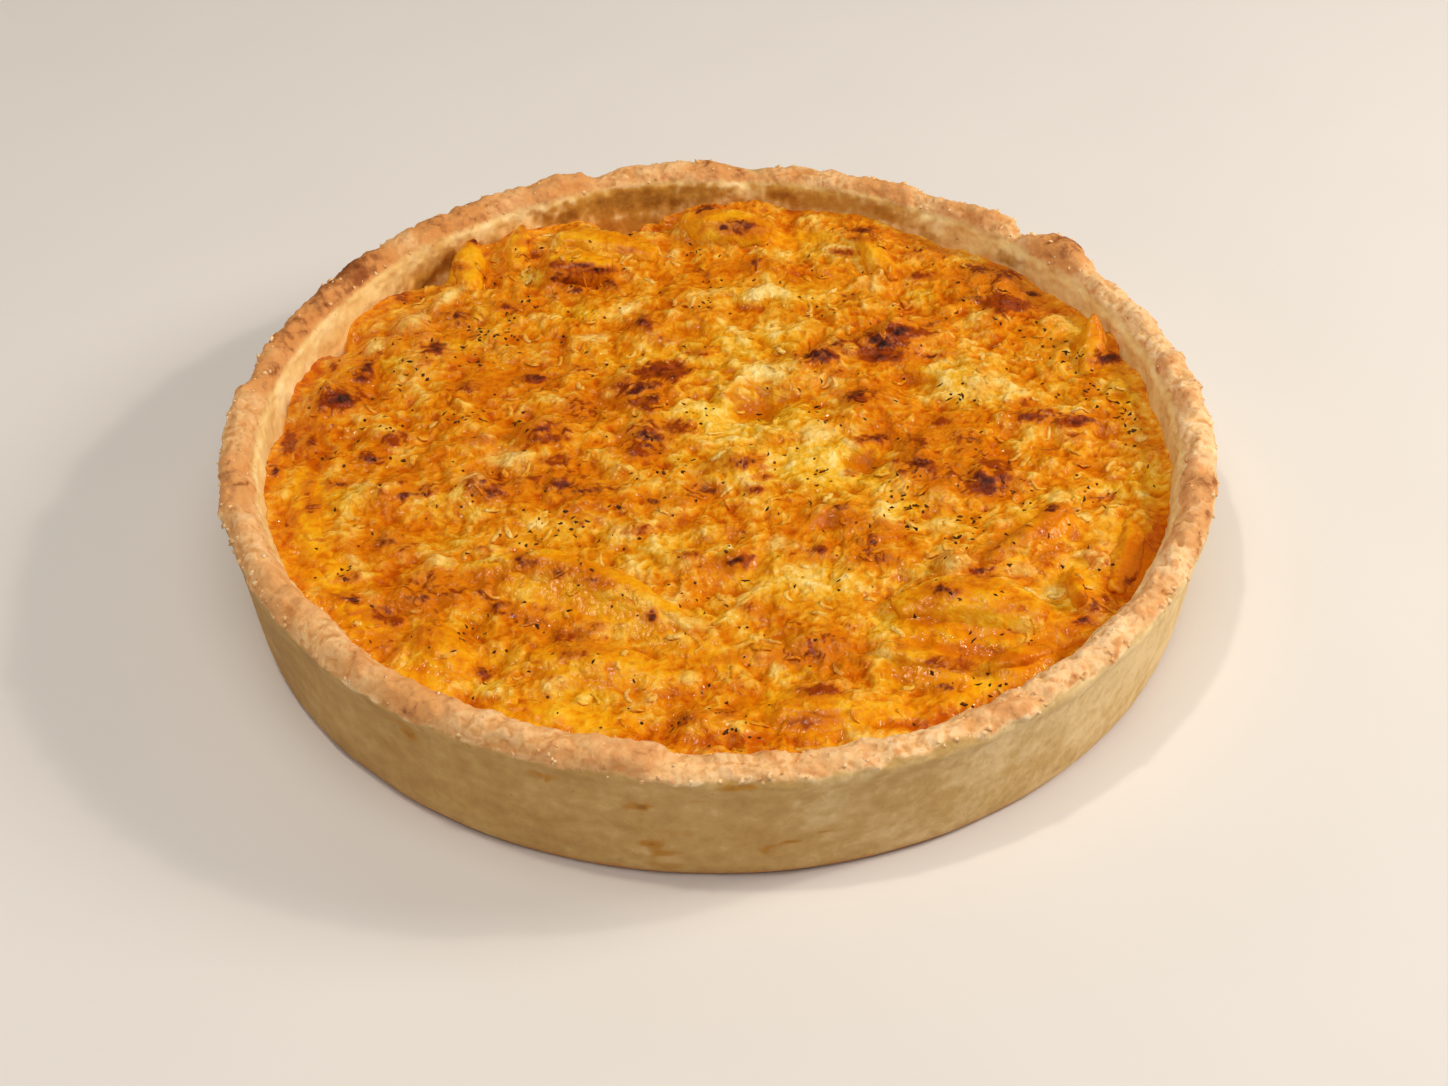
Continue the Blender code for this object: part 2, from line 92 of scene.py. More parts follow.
# Colours out of 255 for four tones, from the deepest to the lightest.
TOP_TONES = (0.25, 0.42, 0.56, 0.75)
TOP_COLOURS = {
    "deep": ((186, 80, 4), (212, 116, 8), (226, 146, 22), (240, 192, 82)),
    "light": ((212, 128, 6), (228, 160, 22), (238, 188, 62), (250, 218, 132)),
    "flesh": ((204, 104, 0), (226, 138, 2), (236, 164, 10), (246, 192, 44)),
    "pale": ((214, 146, 44), (230, 176, 76), (240, 200, 108), (252, 226, 152)),
}
PASTRY_TONES = (0.25, 0.45, 0.58, 0.75)
PASTRY_COLOURS = {
    "wall": ((172, 126, 62), (194, 150, 84), (208, 168, 102), (234, 202, 146)),
    "crown": ((204, 138, 76), (224, 168, 106), (240, 194, 136), (252, 222, 174)),
    "inner": ((224, 172, 94), (240, 200, 128), (246, 214, 150), (252, 228, 176)),
}
HERB_TONES = (0.35, 0.5, 0.65)
HERB_COLOURS = ((48, 30, 10), (78, 48, 16), (118, 66, 22))

# Loose things on the top and the rim, and how far from the middle they lie.
SHREDS = 340
SHRED_REACH = 108.0
LOOSE_HERBS = 330
HERB_REACH = 109.0
FURTHEST_HERB = 111.0
CRUMBS = 360

SLICES = sorted(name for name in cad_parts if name.startswith("pumpkin_"))

# Charred spots on the top: x, y, half length, half width, turn, strength.
CHAR_SPOTS = (
    (104, 58, 3.0, 2.4, 70, 1.0),
    (103, 36, 3.2, 2.0, 10, 1.0),
    (42, 98, 2.6, 1.6, 0, 0.9),
    (57, 88, 2.4, 1.2, 20, 0.7),
    (-54, 104, 3.2, 2.6, 30, 1.0),
    (-68, 94, 2.2, 1.2, 30, 0.9),
    (-97, 20, 3.8, 3.0, 20, 0.95),
    (8, 101, 4.2, 3.2, 10, 0.62),
    (-3, 110, 3.0, 1.4, 20, 0.8),
    (49, 48.5, 4.0, 2.8, 20, 1.0),
    (44, 44, 4.6, 4.2, 0, 0.98),
    (58, 52, 4.0, 1.2, 25, 0.6),
    (27, 38, 3.8, 2.8, 0, 0.85),
    (31, 43, 3.2, 1.4, 30, 0.7),
    (36, 21, 4.5, 2.2, 10, 0.7),
    (7, -7, 3.4, 1.7, -4, 0.85),
    (3.5, -45, 3.2, 2.2, 15, 1.0),
    (-15.5, -64.5, 1.4, 1.4, 0, 0.95),
    (-45, 7, 3.6, 1.6, 10, 0.78),
    (-20, 24, 5.5, 3.2, 12, 0.75),
    (-16, 32, 6.0, 2.2, 8, 0.6),
    (43, 37, 3.8, 2.0, 0, 0.75),
    (66, -18, 5.0, 2.6, -25, 0.68),
    (2, 100, 4.0, 2.0, 0, 0.7),
    (79, 61, 3.6, 2.4, -20, 0.62),
    (40, 2, 3.4, 2.0, 0, 0.6),
    (-18, 4, 4.6, 3.4, -20, 0.72),
    (-55, -18, 2.8, 2.0, 0, 0.9),
    (-39, -15.5, 3.0, 2.0, 0, 0.8),
    (79, 11, 3.2, 1.2, 0, 0.62),
    (-57, 61, 1.8, 1.2, 0, 0.65),
    (-18, 0, 2.6, 1.4, 0, 0.55),
    (-32, -18, 5.0, 1.2, 5, 0.7),
    (-3, -18, 2.6, 1.8, 0, 0.75),
    (-16, -22, 2.6, 1.2, 0, 0.6),
    (92, 9, 5.0, 1.8, 2, 0.7),
    (84, 11, 3.0, 0.8, 2, 0.6),
    (62, 2, 4.0, 1.6, -20, 0.72),
    (50, -8, 3.4, 2.6, 0, 0.86),
    (66, -14, 4.6, 2.4, -25, 0.85),
    (30, -25, 3.4, 1.6, 0, 0.5),
    (5, -34, 2.0, 1.0, 0, 0.5),
    (37, -38, 2.6, 1.0, 60, 0.65),
    (36, -39, 2.4, 0.8, -30, 0.65),
    (23, -41, 3.0, 0.6, 10, 0.8),
    (52, -55, 2.4, 1.4, -20, 0.9),
    (62, -49, 1.4, 1.6, 0, 0.85),
    (81, -26, 2.6, 1.4, 20, 0.9),
    (87, -60, 1.5, 2.0, 0, 0.9),
    (84, -66, 1.6, 1.2, 0, 0.8),
    (96, -53, 1.0, 2.0, 0, 0.8),
    (50, -88, 2.6, 1.8, 0, 0.72),
    (65, -83, 1.8, 1.0, 0, 0.6),
    (22, -77, 3.6, 2.2, 0, 0.5),
    (-7, -97, 2.0, 0.9, 5, 0.7),
    (-53, -82, 1.6, 1.4, 0, 0.95),
    (-46, -44, 2.4, 1.6, -10, 0.8),
    (-37, -48, 3.0, 1.6, -12, 0.66),
    (-29, -51, 2.6, 1.2, -10, 0.66),
    (-55, -56, 3.0, 1.0, -62, 0.55),
    (-51, -60, 1.8, 1.2, 0, 0.85),
    (-88, -50, 1.4, 1.0, 0, 0.6),
    (-86, -57, 3.2, 0.8, -15, 0.75),
    (-70, -57, 3.6, 2.4, 10, 0.6),
    (-66, -62, 1.4, 1.4, 0, 0.6),
    (-79, -37, 3.0, 2.6, 0, 0.62),
    (-76, -19, 4.0, 1.4, 10, 0.7),
    (-87, -5, 2.6, 1.4, 0, 0.8),
    (-94, -15, 2.2, 1.0, 20, 0.7),
    (-103, -28, 1.0, 2.2, -20, 0.55),
    (-110, -10, 0.9, 2.6, 5, 0.8),
    (-92, 34, 1.4, 4.0, -14, 0.85),
    (-74, 43, 2.8, 3.0, 0, 0.72),
    (-70, 57, 3.0, 3.2, 0, 0.7),
    (-40, 69, 4.5, 1.3, 8, 0.6),
    (-48, 29, 3.4, 1.4, 4, 0.85),
    (-20, 54, 2.0, 2.0, 0, 0.8),
    (-37, 81, 2.6, 1.2, -14, 0.95),
    (-33, 79, 3.4, 1.2, -10, 0.95),
    (-44, 75, 2.6, 3.0, 0, 0.78),
    (-30, 72, 2.0, 2.4, 0, 0.7),
    (10, 82, 3.0, 1.6, 10, 0.66),
    (-3, 76, 2.0, 1.4, 0, 0.5),
    (36, 65, 2.0, 1.2, 0, 0.5),
    (72, 78, 4.0, 2.2, -30, 0.62),
    (79, 75, 3.6, 2.4, -20, 0.66),
    (70, 64, 4.4, 1.4, 10, 0.6),
    (86, 66, 3.0, 1.8, -30, 0.6),
    (83, -3, 2.2, 0.8, 10, 0.6),
    (93, -22, 3.0, 0.9, 0, 0.7),
    (57, 37, 3.0, 0.8, 20, 0.7),
    (70, -14, 2.6, 1.8, 0, 0.7),
    (4, 99, 4.0, 2.2, 0, 0.66),
    (87, -61, 2.2, 2.2, 0, 0.85),
    (-58, -14, 2.4, 1.6, 0, 0.7),
    (-16, 20, 3.2, 2.0, 0, 0.68),
    (-93, 29, 1.8, 2.6, 0, 0.66),
)

# Browned areas on the top, and darker patches of painted shade in hollows and beside slices: x, y,
# half length, half width, turn, strength.
BROWN_AND_SHADE_AREAS = (
    (-72, 48, 20, 16, 30, 0.4),
    (-40, 66, 16, 6, 10, 0.2),
    (-39, 77, 10, 6, -14, 0.82),
    (-96, 22, 10, 8, 0, 0.6),
    (-75, -5, 22, 16, 0, 0.2),
    (-46, 7, 10, 5, 8, 0.5),
    (-34, 16, 9, 7, 0, 0.7),
    (-20, 23, 9, 6, 10, 0.6),
    (-18, 4, 8, 8, 0, 0.75),
    (-40, -14, 16, 7, 4, 0.45),
    (-54, -15, 8, 5, 0, 0.7),
    (-14, -21, 16, 5, 0, 0.3),
    (8, -7, 6, 3.5, 0, 0.95),
    (10, -18, 5, 2.5, 0, 0.8),
    (4, -45, 7, 5, 0, 0.72),
    (30, -32, 18, 10, 0, 0.42),
    (44, -24, 12, 6, 0, 0.15),
    (56, -12, 14, 8, -20, 0.7),
    (48, -7, 6, 8, 0, 0.8),
    (66, -15, 9, 6, -25, 0.85),
    (91, 9, 8, 4, 0, 0.95),
    (78, 13, 6, 3, 0, 0.4),
    (36, 21, 8, 5, 0, 0.75),
    (46, 46, 13, 9, 20, 0.8),
    (27, 40, 8, 6, 20, 0.75),
    (77, 71, 16, 12, -40, 0.66),
    (60, 86, 9, 6, 0, 0.5),
    (8, 101, 10, 6, 0, 0.75),
    (-10, 104, 8, 6, 30, 0.5),
    (8, 82, 12, 5, 10, 0.5),
    (-20, 53, 6, 5, 0, 0.6),
    (-6, 60, 6, 4, 0, 0.35),
    (81, -28, 7, 5, 30, 0.75),
    (72, -36, 12, 5, 40, 0.7),
    (54, -55, 8, 3, 0, 0.55),
    (88, -60, 4, 6, 0, 0.5),
    (96, -40, 6, 14, 0, 0.45),
    (51, -88, 6, 2.5, 10, 0.7),
    (55, -78, 9, 2.8, 0, 0.7),
    (22, -77, 16, 9, 0, 0.62),
    (34, -74, 7, 3, 0, 0.4),
    (-6, -97, 8, 3, 5, 0.55),
    (-50, -83, 6, 3, 0, 0.4),
    (-36, -48, 16, 5, -12, 0.5),
    (-54, -50, 7, 8, 0, 0.62),
    (-68, -54, 12, 7, 20, 0.6),
    (-80, -38, 9, 8, 0, 0.4),
    (-84, -12, 9, 6, 0, 0.25),
    (-14, -90, 12, 4, 0, 0.3),
    (62, -83, 12, 5, 10, 0.45),
    (-16, 31, 10, 5, 10, 1.15),
    (-108, 2, 2.5, 7, 5, 1.15),
    (-103, 3, 3, 6, 0, 0.8),
    (40, 2, 7, 4, 0, 0.9),
    (-10, 7, 6, 4, 0, 1.0),
    (6, 98, 9, 4, 0, 1.05),
    (43, 38, 8, 4.5, 0, 1.25),
    (65, -19, 8, 3, -20, 0.95),
    (50, -13, 4, 2.5, 0, 0.7),
    (70, -9, 6, 3, -20, 1.0),
    (74, -15, 4, 4, 0, 0.7),
    (64, -3, 5, 3, 0, 0.7),
    (18, -98, 9, 3.0, 0, 0.85),
    (23, -89, 8, 3.0, 0, 0.8),
    (-30, -73, 9, 4.5, -10, 0.65),
    (79, 11, 7, 3, 0, 0.95),
    (-76, -72, 4, 6, 40, 0.66),
    (-13, 46, 6, 3, 0, 0.7),
    (90, -42, 3, 8, -14, 0.35),
    (79, -42, 7, 3, 30, 0.6),
    (22, -44, 6, 3, 0, 0.65),
    (37, -44, 8, 3.5, 0, 0.8),
    (2, -46, 5, 3, 0, 0.95),
    (-51, 86, 5, 4, 0, 0.9),
    (-43, -65, 8, 3, -10, 0.7),
    (-57, 61, 6, 4, 0, 0.85),
    (-18, -33, 7, 3, 0, 0.6),
    (-18, -2, 7, 4, 0, 0.85),
    (79, 61, 8, 5, -20, 1.15),
    (36, 87, 7, 3, 0, 0.8),
    (-27, 102, 7, 3, 10, 0.7),
    (-61, 3, 5, 3, 0, 0.8),
    (-78, -62, 5, 4, 0, 0.85),
    (-4, 40, 6, 3, 0, 0.8),
    (-31, -30, 6, 3.5, 0, 0.5),
    (-36, 33, 6, 3, 0, 0.66),
    (96, 22, 3, 5, 0, 0.8),
    (9, -61, 6, 3, 0, 0.66),
    (-71, 81, 3, 3, 0, 0.8),
    (-101, -16, 2.5, 6, 5, 0.66),
    (-55, 93, 3, 3, 0, 0.8),
    (-86, 66, 3, 5, 40, 0.85),
    (66, -71, 6, 3, 0, 0.75),
    (85, 13, 5, 3, 0, 0.8),
    (-101, 37, 2.5, 8, 16, 0.66),
    (38, 19, 6, 4, 0, 0.95),
    (24, -72, 7, 3.5, 0, 0.75),
    (42, 94, 6, 3, 0, 0.85),
    (-27, -67, 6, 3, 0, 0.5),
    (72, -75, 6, 4, 0, 0.7),
    (-24, 24, 8, 5, 10, 0.8),
    (-45, 7, 6, 3, 8, 0.6),
    (-57, -18, 6, 4, 0, 0.8),
    (-19, 18, 7, 4, 0, 0.95),
    (12, -13, 5, 3, 0, 1.0),
    (55, -77, 8, 5, 0, 0.9),
    (-43, 3, 6, 3, 0, 0.9),
    (86, -60, 4, 5, 0, 0.95),
    (69, -14, 6, 4, 0, 1.0),
    (-75, -65, 5, 4, 0, 0.95),
    (-82, 3, 6, 4, 0, 0.75),
    (-35, -70, 7, 4, 0, 0.9),
    (-40, -6, 6, 3, 0, 0.85),
    (-93, 29, 4, 5, 0, 0.95),
    (5, 20, 5, 3, 0, 0.7),
    (50, 1, 6, 4, 0, 0.9),
    (57, 75, 7, 3, 0, 0.85),
    (-64, 25, 6, 3, 0, 0.8),
    (79, 16, 5, 3, 0, 0.85),
    (32, -67, 5, 3, 0, 0.65),
    (3, -78, 6, 3, 0, 0.75),
    (53, -80, 8, 3.5, 0, 1.1),
    (33, -11, 3.5, 3, 0, 0.8),
    (89, 2, 5, 3, 0, 0.6),
    (-39, -61, 6, 3, 0, 0.65),
    (-33, -76, 6, 3, 0, 0.85),
    (18, -99, 7, 3, 0, 1.1),
    (57, 9, 5, 4, 0, 0.95),
    (32, 30, 5, 4, 0, 0.7),
    (-25, 89, 6, 3, 0, 0.8),
    (2, -96, 5, 3, 0, 0.8),
    (-45, 82, 4, 3, 0, 1.0),
    (10, 101, 5, 3, 0, 1.1),
    (44, -74, 6, 3, 0, 0.75),
    (-7, -42, 5, 3, 0, 0.65),
    (65, -62, 6, 3, 0, 0.65),
    (-99, -23, 3, 5, 0, 0.8),
    (42, -32, 5, 3, 0, 0.65),
)

# Paler and yellower areas, a few of them painted light on ridges and beside the wall: x, y, half
# length, half width, turn, strength.
YELLOW_AREAS = (
    (2, 40, 26, 14, 0, 0.75),
    (6, 12, 22, 12, 0, 1.0),
    (22, -10, 24, 14, 0, 0.95),
    (-32, -36, 22, 9, 0, 0.6),
    (84, -21, 8, 4, 0, 0.9),
    (-32, -90, 10, 4, -10, 0.9),
    (-54, -43, 7, 4, 0, 0.8),
    (13, -71, 8, 3, 0, 0.6),
    (-57, -67, 6, 4, 0, 0.8),
    (-64, -37, 7, 4, 0, 0.7),
    (-79, -5, 7, 4, 0, 0.5),
    (20, -52, 22, 10, 0, 0.7),
    (-10, -40, 16, 8, 0, 0.6),
    (62, 28, 14, 10, 0, 0.7),
    (16, 66, 26, 7, 0, 0.6),
    (30, 88, 18, 5, 0, 0.55),
    (-30, 90, 16, 5, 0, 0.5),
    (58, -70, 18, 10, 0, 0.6),
    (-62, 56, 12, 7, 0, 0.5),
    (92, 20, 10, 22, 0, 0.4),
    (-26, 34, 12, 5, 0, 0.6),
    (-20, -72, 20, 6, 0, 0.4),
    (88, -36, 9, 8, 0, 0.4),
    (46, -81, 9, 2.6, 0, 0.95),
    (106, -16, 4, 9, 0, 0.9),
    (-91, -21, 7, 6, 0, 0.8),
    (38, -67, 8, 4, 0, 0.9),
    (79, -56, 6, 4, 0, 0.9),
    (-4, -64, 10, 4, 0, 0.9),
    (-64, -27, 7, 4, 0, 0.8),
    (105, 19, 4, 8, 0, 0.8),
    (56, 65, 6, 4, 0, 0.7),
    (66, 20, 8, 5, 0, 0.9),
    (53, -32, 7, 4, 0, 0.8),
    (-2, -4, 5, 3, 0, 0.8),
    (-63, -19, 4, 3, 0, 0.8),
    (-48, -78, 6, 4, 0, 0.8),
    (-38, -51, 7, 3, 0, 0.6),
    (81, -61, 5, 4, 0, 0.9),
    (105, -14, 4, 5, 0, 0.9),
    (-7, -17, 6, 3, 0, 0.8),
    (-72, -20, 6, 3, 0, 0.7),
    (-68, 44, 6, 3, 0, 0.8),
    (-21, -58, 7, 4, 0, 0.8),
    (-68, -79, 6, 4, 40, 0.8),
    (41, -86, 7, 3, 0, 0.8),
    (41, -79, 6, 3, 0, 0.8),
    (81, -53, 5, 3, 0, 0.8),
    (69, 82, 5, 3, 0, 0.7),
    (-14, -45, 7, 4, 0, 0.7),
    (-25, -44, 6, 3, 0, 0.7),
    (74, -30, 5, 3, 0, 0.8),
    (52, -47, 5, 3, 0, 0.8),
    (12, -43, 5, 3, 0, 0.8),
    (17, -83, 6, 3, 0, 0.8),
    (29, -34, 6, 3, 0, 0.6),
    (-104, 25, 3, 5, 0, 0.8),
    (-85, 35, 5, 4, 0, 0.8),
    (45, -26, 6, 4, 0, 0.9),
    (39, -10, 4, 3, 0, 0.9),
    (76, -26, 5, 3, 0, 0.9),
    (96, -20, 4, 4, 0, 0.9),
    (-8, -6, 5, 3, 0, 0.8),
    (-39, 58, 7, 4, 0, 0.9),
    (-51, 76, 5, 3, 0, 0.9),
    (-52, -87, 6, 3, 0, 0.9),
    (1, -40, 4, 2, 0, 0.8),
    (47, -82, 6, 3, 0, 0.9),
)

# Pale, half clear pieces of onion and cheese: x, y, half length, half width, turn, rise.
PALE_PIECES = (
    (-83, 54, 6.6, 4.4, 50, 0.9),
    (-73, 67, 6.5, 2.2, 55, 0.7),
    (-91, 44, 4.0, 2.4, 60, 0.5),
    (56, -46, 4.6, 4.4, 30, 1.9),
    (13, 68, 5.4, 3.2, -10, 0.6),
    (-53, -5, 5.4, 3.2, 5, 1.1),
    (-60, 3, 3.4, 2.0, 30, 0.8),
    (12, 31, 6.4, 4.6, 0, 0.5),
    (25, 5, 5.0, 3.2, 20, 0.6),
    (69, 26, 4.6, 5.0, 70, 0.9),
    (-14, 34, 5.0, 1.8, 15, 0.6),
    (-33, 47, 4.4, 2.0, 0, 0.5),
    (14, -38, 3.0, 2.4, 70, 0.5),
    (-6, -66, 6.0, 2.8, -20, 0.6),
    (-24, 60, 3.2, 2.2, 40, 0.6),
    (-28, 22, 3.2, 2.2, 50, 0.7),
    (-61, -13, 3.6, 2.6, 20, 0.6),
    (-12, -65, 5.0, 2.2, -10, 0.4),
    (67, 20, 4.4, 3.2, 0, 0.6),
    (53, -32, 4.4, 2.6, 0, 0.5),
    (79, -56, 3.6, 2.4, 20, 0.5),
    (71, -49, 4.0, 2.6, 10, 0.4),
    (84, -21, 4.0, 2.4, 10, 0.5),
)

# Smooth hollows pressed between the browned parts: x, y, half length, half width, turn, depth.
HOLLOWS = (
    (10, 15, 8, 5, 10, 1.3),
    (50, 27, 8, 5, 0, 1.2),
    (57, 8, 7, 5, -10, 1.0),
    (35, -8, 6, 5, 0, 0.6),
    (-57, 30, 10, 6, 20, 0.9),
    (-46, -34, 12, 5, 5, 0.9),
    (-84, -24, 5, 4, 0, 0.8),
    (24, -60, 10, 4, 0, 0.8),
    (78, -56, 7, 5, 40, 1.0),
    (-8, 92, 8, 4, 0, 0.8),
    (30, 74, 9, 4, 0, 0.7),
    (-62, 80, 5, 4, 0, 1.0),
    (86, 44, 6, 8, 0, 0.7),
    (60, -67, 17, 7, -12, 1.5),
)

# Smooth, bright flesh of slices just under the top: x, y, half length, half width, turn, share.
FLESH_AREAS = (
    (-100, -24, 4.5, 20, 8, 0.95),
    (-93, -46, 5, 12, 30, 0.85),
    (-82, -64, 5, 11, 40, 0.9),
    (-62, -76, 6, 12, 42, 0.95),
    (-66, -84, 8, 4, -40, 0.9),
    (-34, -97, 18, 5, -10, 0.95),
    (-30, -60, 24, 6, -22, 0.9),
    (-26, -80, 17, 7, -10, 0.75),
    (-2, -78, 10, 5, -10, 0.5),
    (26, -97, 18, 5, 4, 0.95),
    (12, -93, 8, 5, 0, 0.6),
    (60, -66, 19, 8, -12, 0.95),
    (52, -76, 14, 6, -20, 0.7),
    (60, -87, 14, 4, 18, 0.85),
    (46, -84, 10, 4, -20, 0.9),
    (99, -44, 5, 15, 12, 1.0),
    (84, -54, 5, 9, 0, 0.7),
    (74, -34, 10, 4, 45, 0.6),
    (104, 30, 4, 14, 4, 0.5),
    (98, 46, 4, 12, -10, 0.6),
    (-30, 92, 14, 5, -4, 0.8),
    (44, 84, 5, 9, 30, 0.7),
    (20, 94, 14, 4, 0, 0.6),
    (-56, 88, 4, 8, 0, 0.6),
    (-99, 40, 4, 14, 20, 0.5),
    (4, -48, 7, 5, 0, 0.6),
    (60, -52, 8, 4, -10, 0.4),
)

# Amber cut faces of flesh, and painted shade in hollows and wall gaps: x, y, half length, half
# width, turn, share.
AMBER_AND_SHADE_AREAS = (
    (98, -48, 4.5, 12, -14, 1.0),
    (106, -36, 2.5, 9, -14, 0.9),
    (-38, 76, 10, 5.5, -14, 1.0),
    (-100, -4, 3, 8, 6, 0.6),
    (62, -92, 10, 3.0, 24, 0.5),
    (-2, -104, 20, 3.0, 0, 0.5),
    (-106, 30, 3, 12, 16, 0.5),
    (38, -100, 8, 2.2, 6, 0.6),
    (10, 15, 6, 4, 10, 0.5),
    (50, 27, 6, 4, 0, 0.5),
    (36, -8, 5, 4, 0, 0.6),
    (28, -30, 6, 4, 0, 0.5),
    (10, 60, 5, 3, 0, 0.4),
    (60, -77, 15, 2.4, -12, 0.8),
)

# Herb clusters: x, y, reach, count.
HERB_CLUSTERS = (
    (-62, 48, 4, 9),
    (-56, 47, 3, 7),
    (-65, 38, 4, 7),
    (-56, 57, 3, 5),
    (-52, 64, 4, 6),
    (-62, 11, 3, 6),
    (-70, 14, 5, 6),
    (47, -23, 5, 14),
    (57, -35, 4, 6),
    (62, -31, 4, 6),
    (93, -22, 5, 8),
    (75, -21, 4, 7),
    (25, -12, 4, 8),
    (-10, -10, 4, 7),
    (-38, -31, 7, 14),
    (-45, -37, 4, 6),
    (103, 12, 4, 9),
    (105, 6, 3, 6),
    (94, 37, 5, 9),
    (98, 22, 4, 8),
    (5, -100, 4, 7),
    (-5, 62, 4, 6),
    (-5, 86, 4, 6),
    (-1, 71, 4, 5),
    (-6, 12, 4, 6),
    (30, 12, 6, 9),
    (44, -14, 7, 10),
    (-86, 8, 6, 7),
    (-96, -2, 4, 6),
    (-80, 30, 5, 7),
    (63, 20, 5, 6),
    (80, 52, 6, 7),
    (26, 60, 6, 6),
    (-88, -48, 3, 8),
    (-60, -70, 6, 8),
    (60, -92, 8, 8),
)

# Stains on the outer wall: angle, height, half width, half height, strength.
WALL_STAINS = (
    (236, 27.5, 1.3, 3.2, 1.0),
    (235.3, 30.5, 2.2, 1.4, 0.75),
    (252, 30, 2.0, 2.0, 0.7),
    (252.4, 28.4, 0.7, 0.9, 1.25),
    (262, 25, 1.6, 1.5, 1.3),
    (260.6, 24, 0.8, 0.8, 0.8),
    (262.8, 11.5, 1.8, 1.9, 1.0),
    (264.2, 8.6, 2.0, 1.7, 0.95),
    (264, 4.0, 4.0, 2.0, 0.5),
    (277.2, 12.4, 1.4, 0.5, 1.1),
    (275.8, 11.0, 1.2, 0.5, 1.15),
    (274.6, 9.6, 0.9, 0.7, 1.0),
    (281, 14.5, 1.2, 0.5, 0.6),
    (272, 33.5, 2.6, 0.9, 0.9),
    (268, 28, 1.2, 1.0, 0.5),
    (266, 16, 3.0, 2.0, 0.35),
    (246, 21, 5.0, 4.0, 0.22),
    (285, 22, 6.0, 5.0, 0.2),
    (225, 16, 5.0, 4.0, 0.16),
    (308, 12, 7.0, 4.0, 0.16),
    (196, 18, 5.0, 4.0, 0.2),
    (150, 14, 6.0, 3.0, 0.25),
    (120, 24, 2.0, 1.5, 0.6),
    (64, 19, 5.0, 4.0, 0.25),
    (30, 26, 2.0, 1.4, 0.6),
    (350, 20, 5.0, 4.0, 0.15),
)

# Caramel stains on the inner wall, and painted shade in its folds and low under the rim: angle,
# height, half width, half height, strength.
INSIDE_STAINS_AND_SHADE = (
    (72, 31, 20, 7, 0.66),
    (102, 30, 20, 7.5, 0.95),
    (104, 31.5, 6, 4, 1.2),
    (103, 23, 12, 5, 0.85),
    (128, 22, 8, 4, 0.7),
    (100, 30, 6, 4, 1.15),
    (112, 29, 4, 4, 1.15),
    (129, 27, 5, 4, 1.1),
    (137, 25, 4, 3, 1.15),
    (80, 31, 5, 3, 1.0),
    (132, 28, 14, 6, 0.6),
    (65, 31, 4.5, 4.0, 0.9),
    (58, 27, 3.0, 3.0, 0.6),
    (81, 32, 3.0, 3.5, 0.85),
    (88, 30, 3.0, 2.5, 0.6),
    (97, 32.5, 3.0, 2.6, 0.9),
    (104, 29, 4.0, 2.2, 0.6),
    (115, 30, 2.6, 4.0, 0.75),
    (122, 28, 2.6, 2.0, 0.6),
    (132, 27, 4.0, 4.0, 0.9),
    (139, 25, 3.0, 3.0, 0.8),
    (147, 28, 2.4, 2.0, 0.45),
    (156, 26, 2.4, 1.8, 0.3),
    (45, 30, 2.6, 3.0, 0.6),
    (30, 29, 2.0, 2.4, 0.4),
    (12, 28, 2.0, 1.6, 0.35),
    (172, 26, 2.0, 1.6, 0.25),
)

# Darker toasted lengths of the rim: angle, reach in degrees, strength.
RIM_TOASTS = (
    (38, 5, 0.75),
    (52, 7, 0.35),
    (66, 5, 0.4),
    (86, 9, 0.35),
    (112, 7, 0.45),
    (128, 5, 0.7),
    (133, 3, 0.9),
    (143, 5, 0.9),
    (148, 4, 0.95),
    (155, 5, 0.85),
    (162, 4, 0.9),
    (170, 5, 0.55),
    (190, 8, 0.25),
    (214, 7, 0.3),
    (236, 5, 0.45),
    (256, 8, 0.3),
    (276, 6, 0.25),
    (300, 7, 0.25),
    (325, 5, 0.4),
    (338, 5, 0.55),
    (346, 4, 0.5),
    (6, 7, 0.2),
)


def smooth_step(low, high, value):
    """From 0 at low to 1 at high, with eased ends."""
    part = np.clip((value - low) / (high - low), 0, 1)
    return part * part * (3 - 2 * part)


def hashed(i, j, k, seed):
    """A number from 0 to 1 for each whole-number place."""
    n = (i * 374761393 + j * 668265263 + k * 1440662683 + seed * 974711) & 0xFFFFFFFF
    n = ((n ^ (n >> 13)) * 1274126177) & 0xFFFFFFFF
    n = n ^ (n >> 16)
    return (n & 0xFFFFFF) / float(0x1000000)


def noise(points, size, seed):
    """Smooth noise from about -1 to 1 at places in space, with swells of the given size."""
    place = np.asarray(points, float) / size
    whole = np.floor(place).astype(np.int64)
    part = place - whole
    eased = part * part * part * (part * (part * 6 - 15) + 10)
    total = np.zeros(len(place))
    for corner in np.ndindex(2, 2, 2):
        at = whole + corner
        turn = 2 * np.pi * hashed(at[:, 0], at[:, 1], at[:, 2], seed)
        rise = 2 * hashed(at[:, 0], at[:, 1], at[:, 2], seed + 77) - 1
        flat = np.sqrt(1 - rise * rise)
        away = part - corner
        slope = away[:, 0] * flat * np.cos(turn) + away[:, 1] * flat * np.sin(turn)
        slope += away[:, 2] * rise
        share = np.prod(np.where(corner, eased, 1 - eased), axis=1)
        total += share * slope
    return total * 1.6


def layered(points, size, seed, layers=3, fall=0.5):
    """Noise of several sizes, each half as large and fainter than the last."""
    total = np.zeros(len(points))
    strength = 1.0
    for layer in range(layers):
        total += strength * noise(points, size / 2**layer, seed + layer)
        strength *= fall
    return total


def ridged(points, size, seed, layers=2):
    """Noise with sharp crests, from 0 to 1."""
    total = np.zeros(len(points))
    strength = 0.65
    for layer in range(layers):
        crest = 1 - np.abs(noise(points, size / 2**layer, seed + layer))
        total += strength * crest**3
        strength *= 0.5
    return total


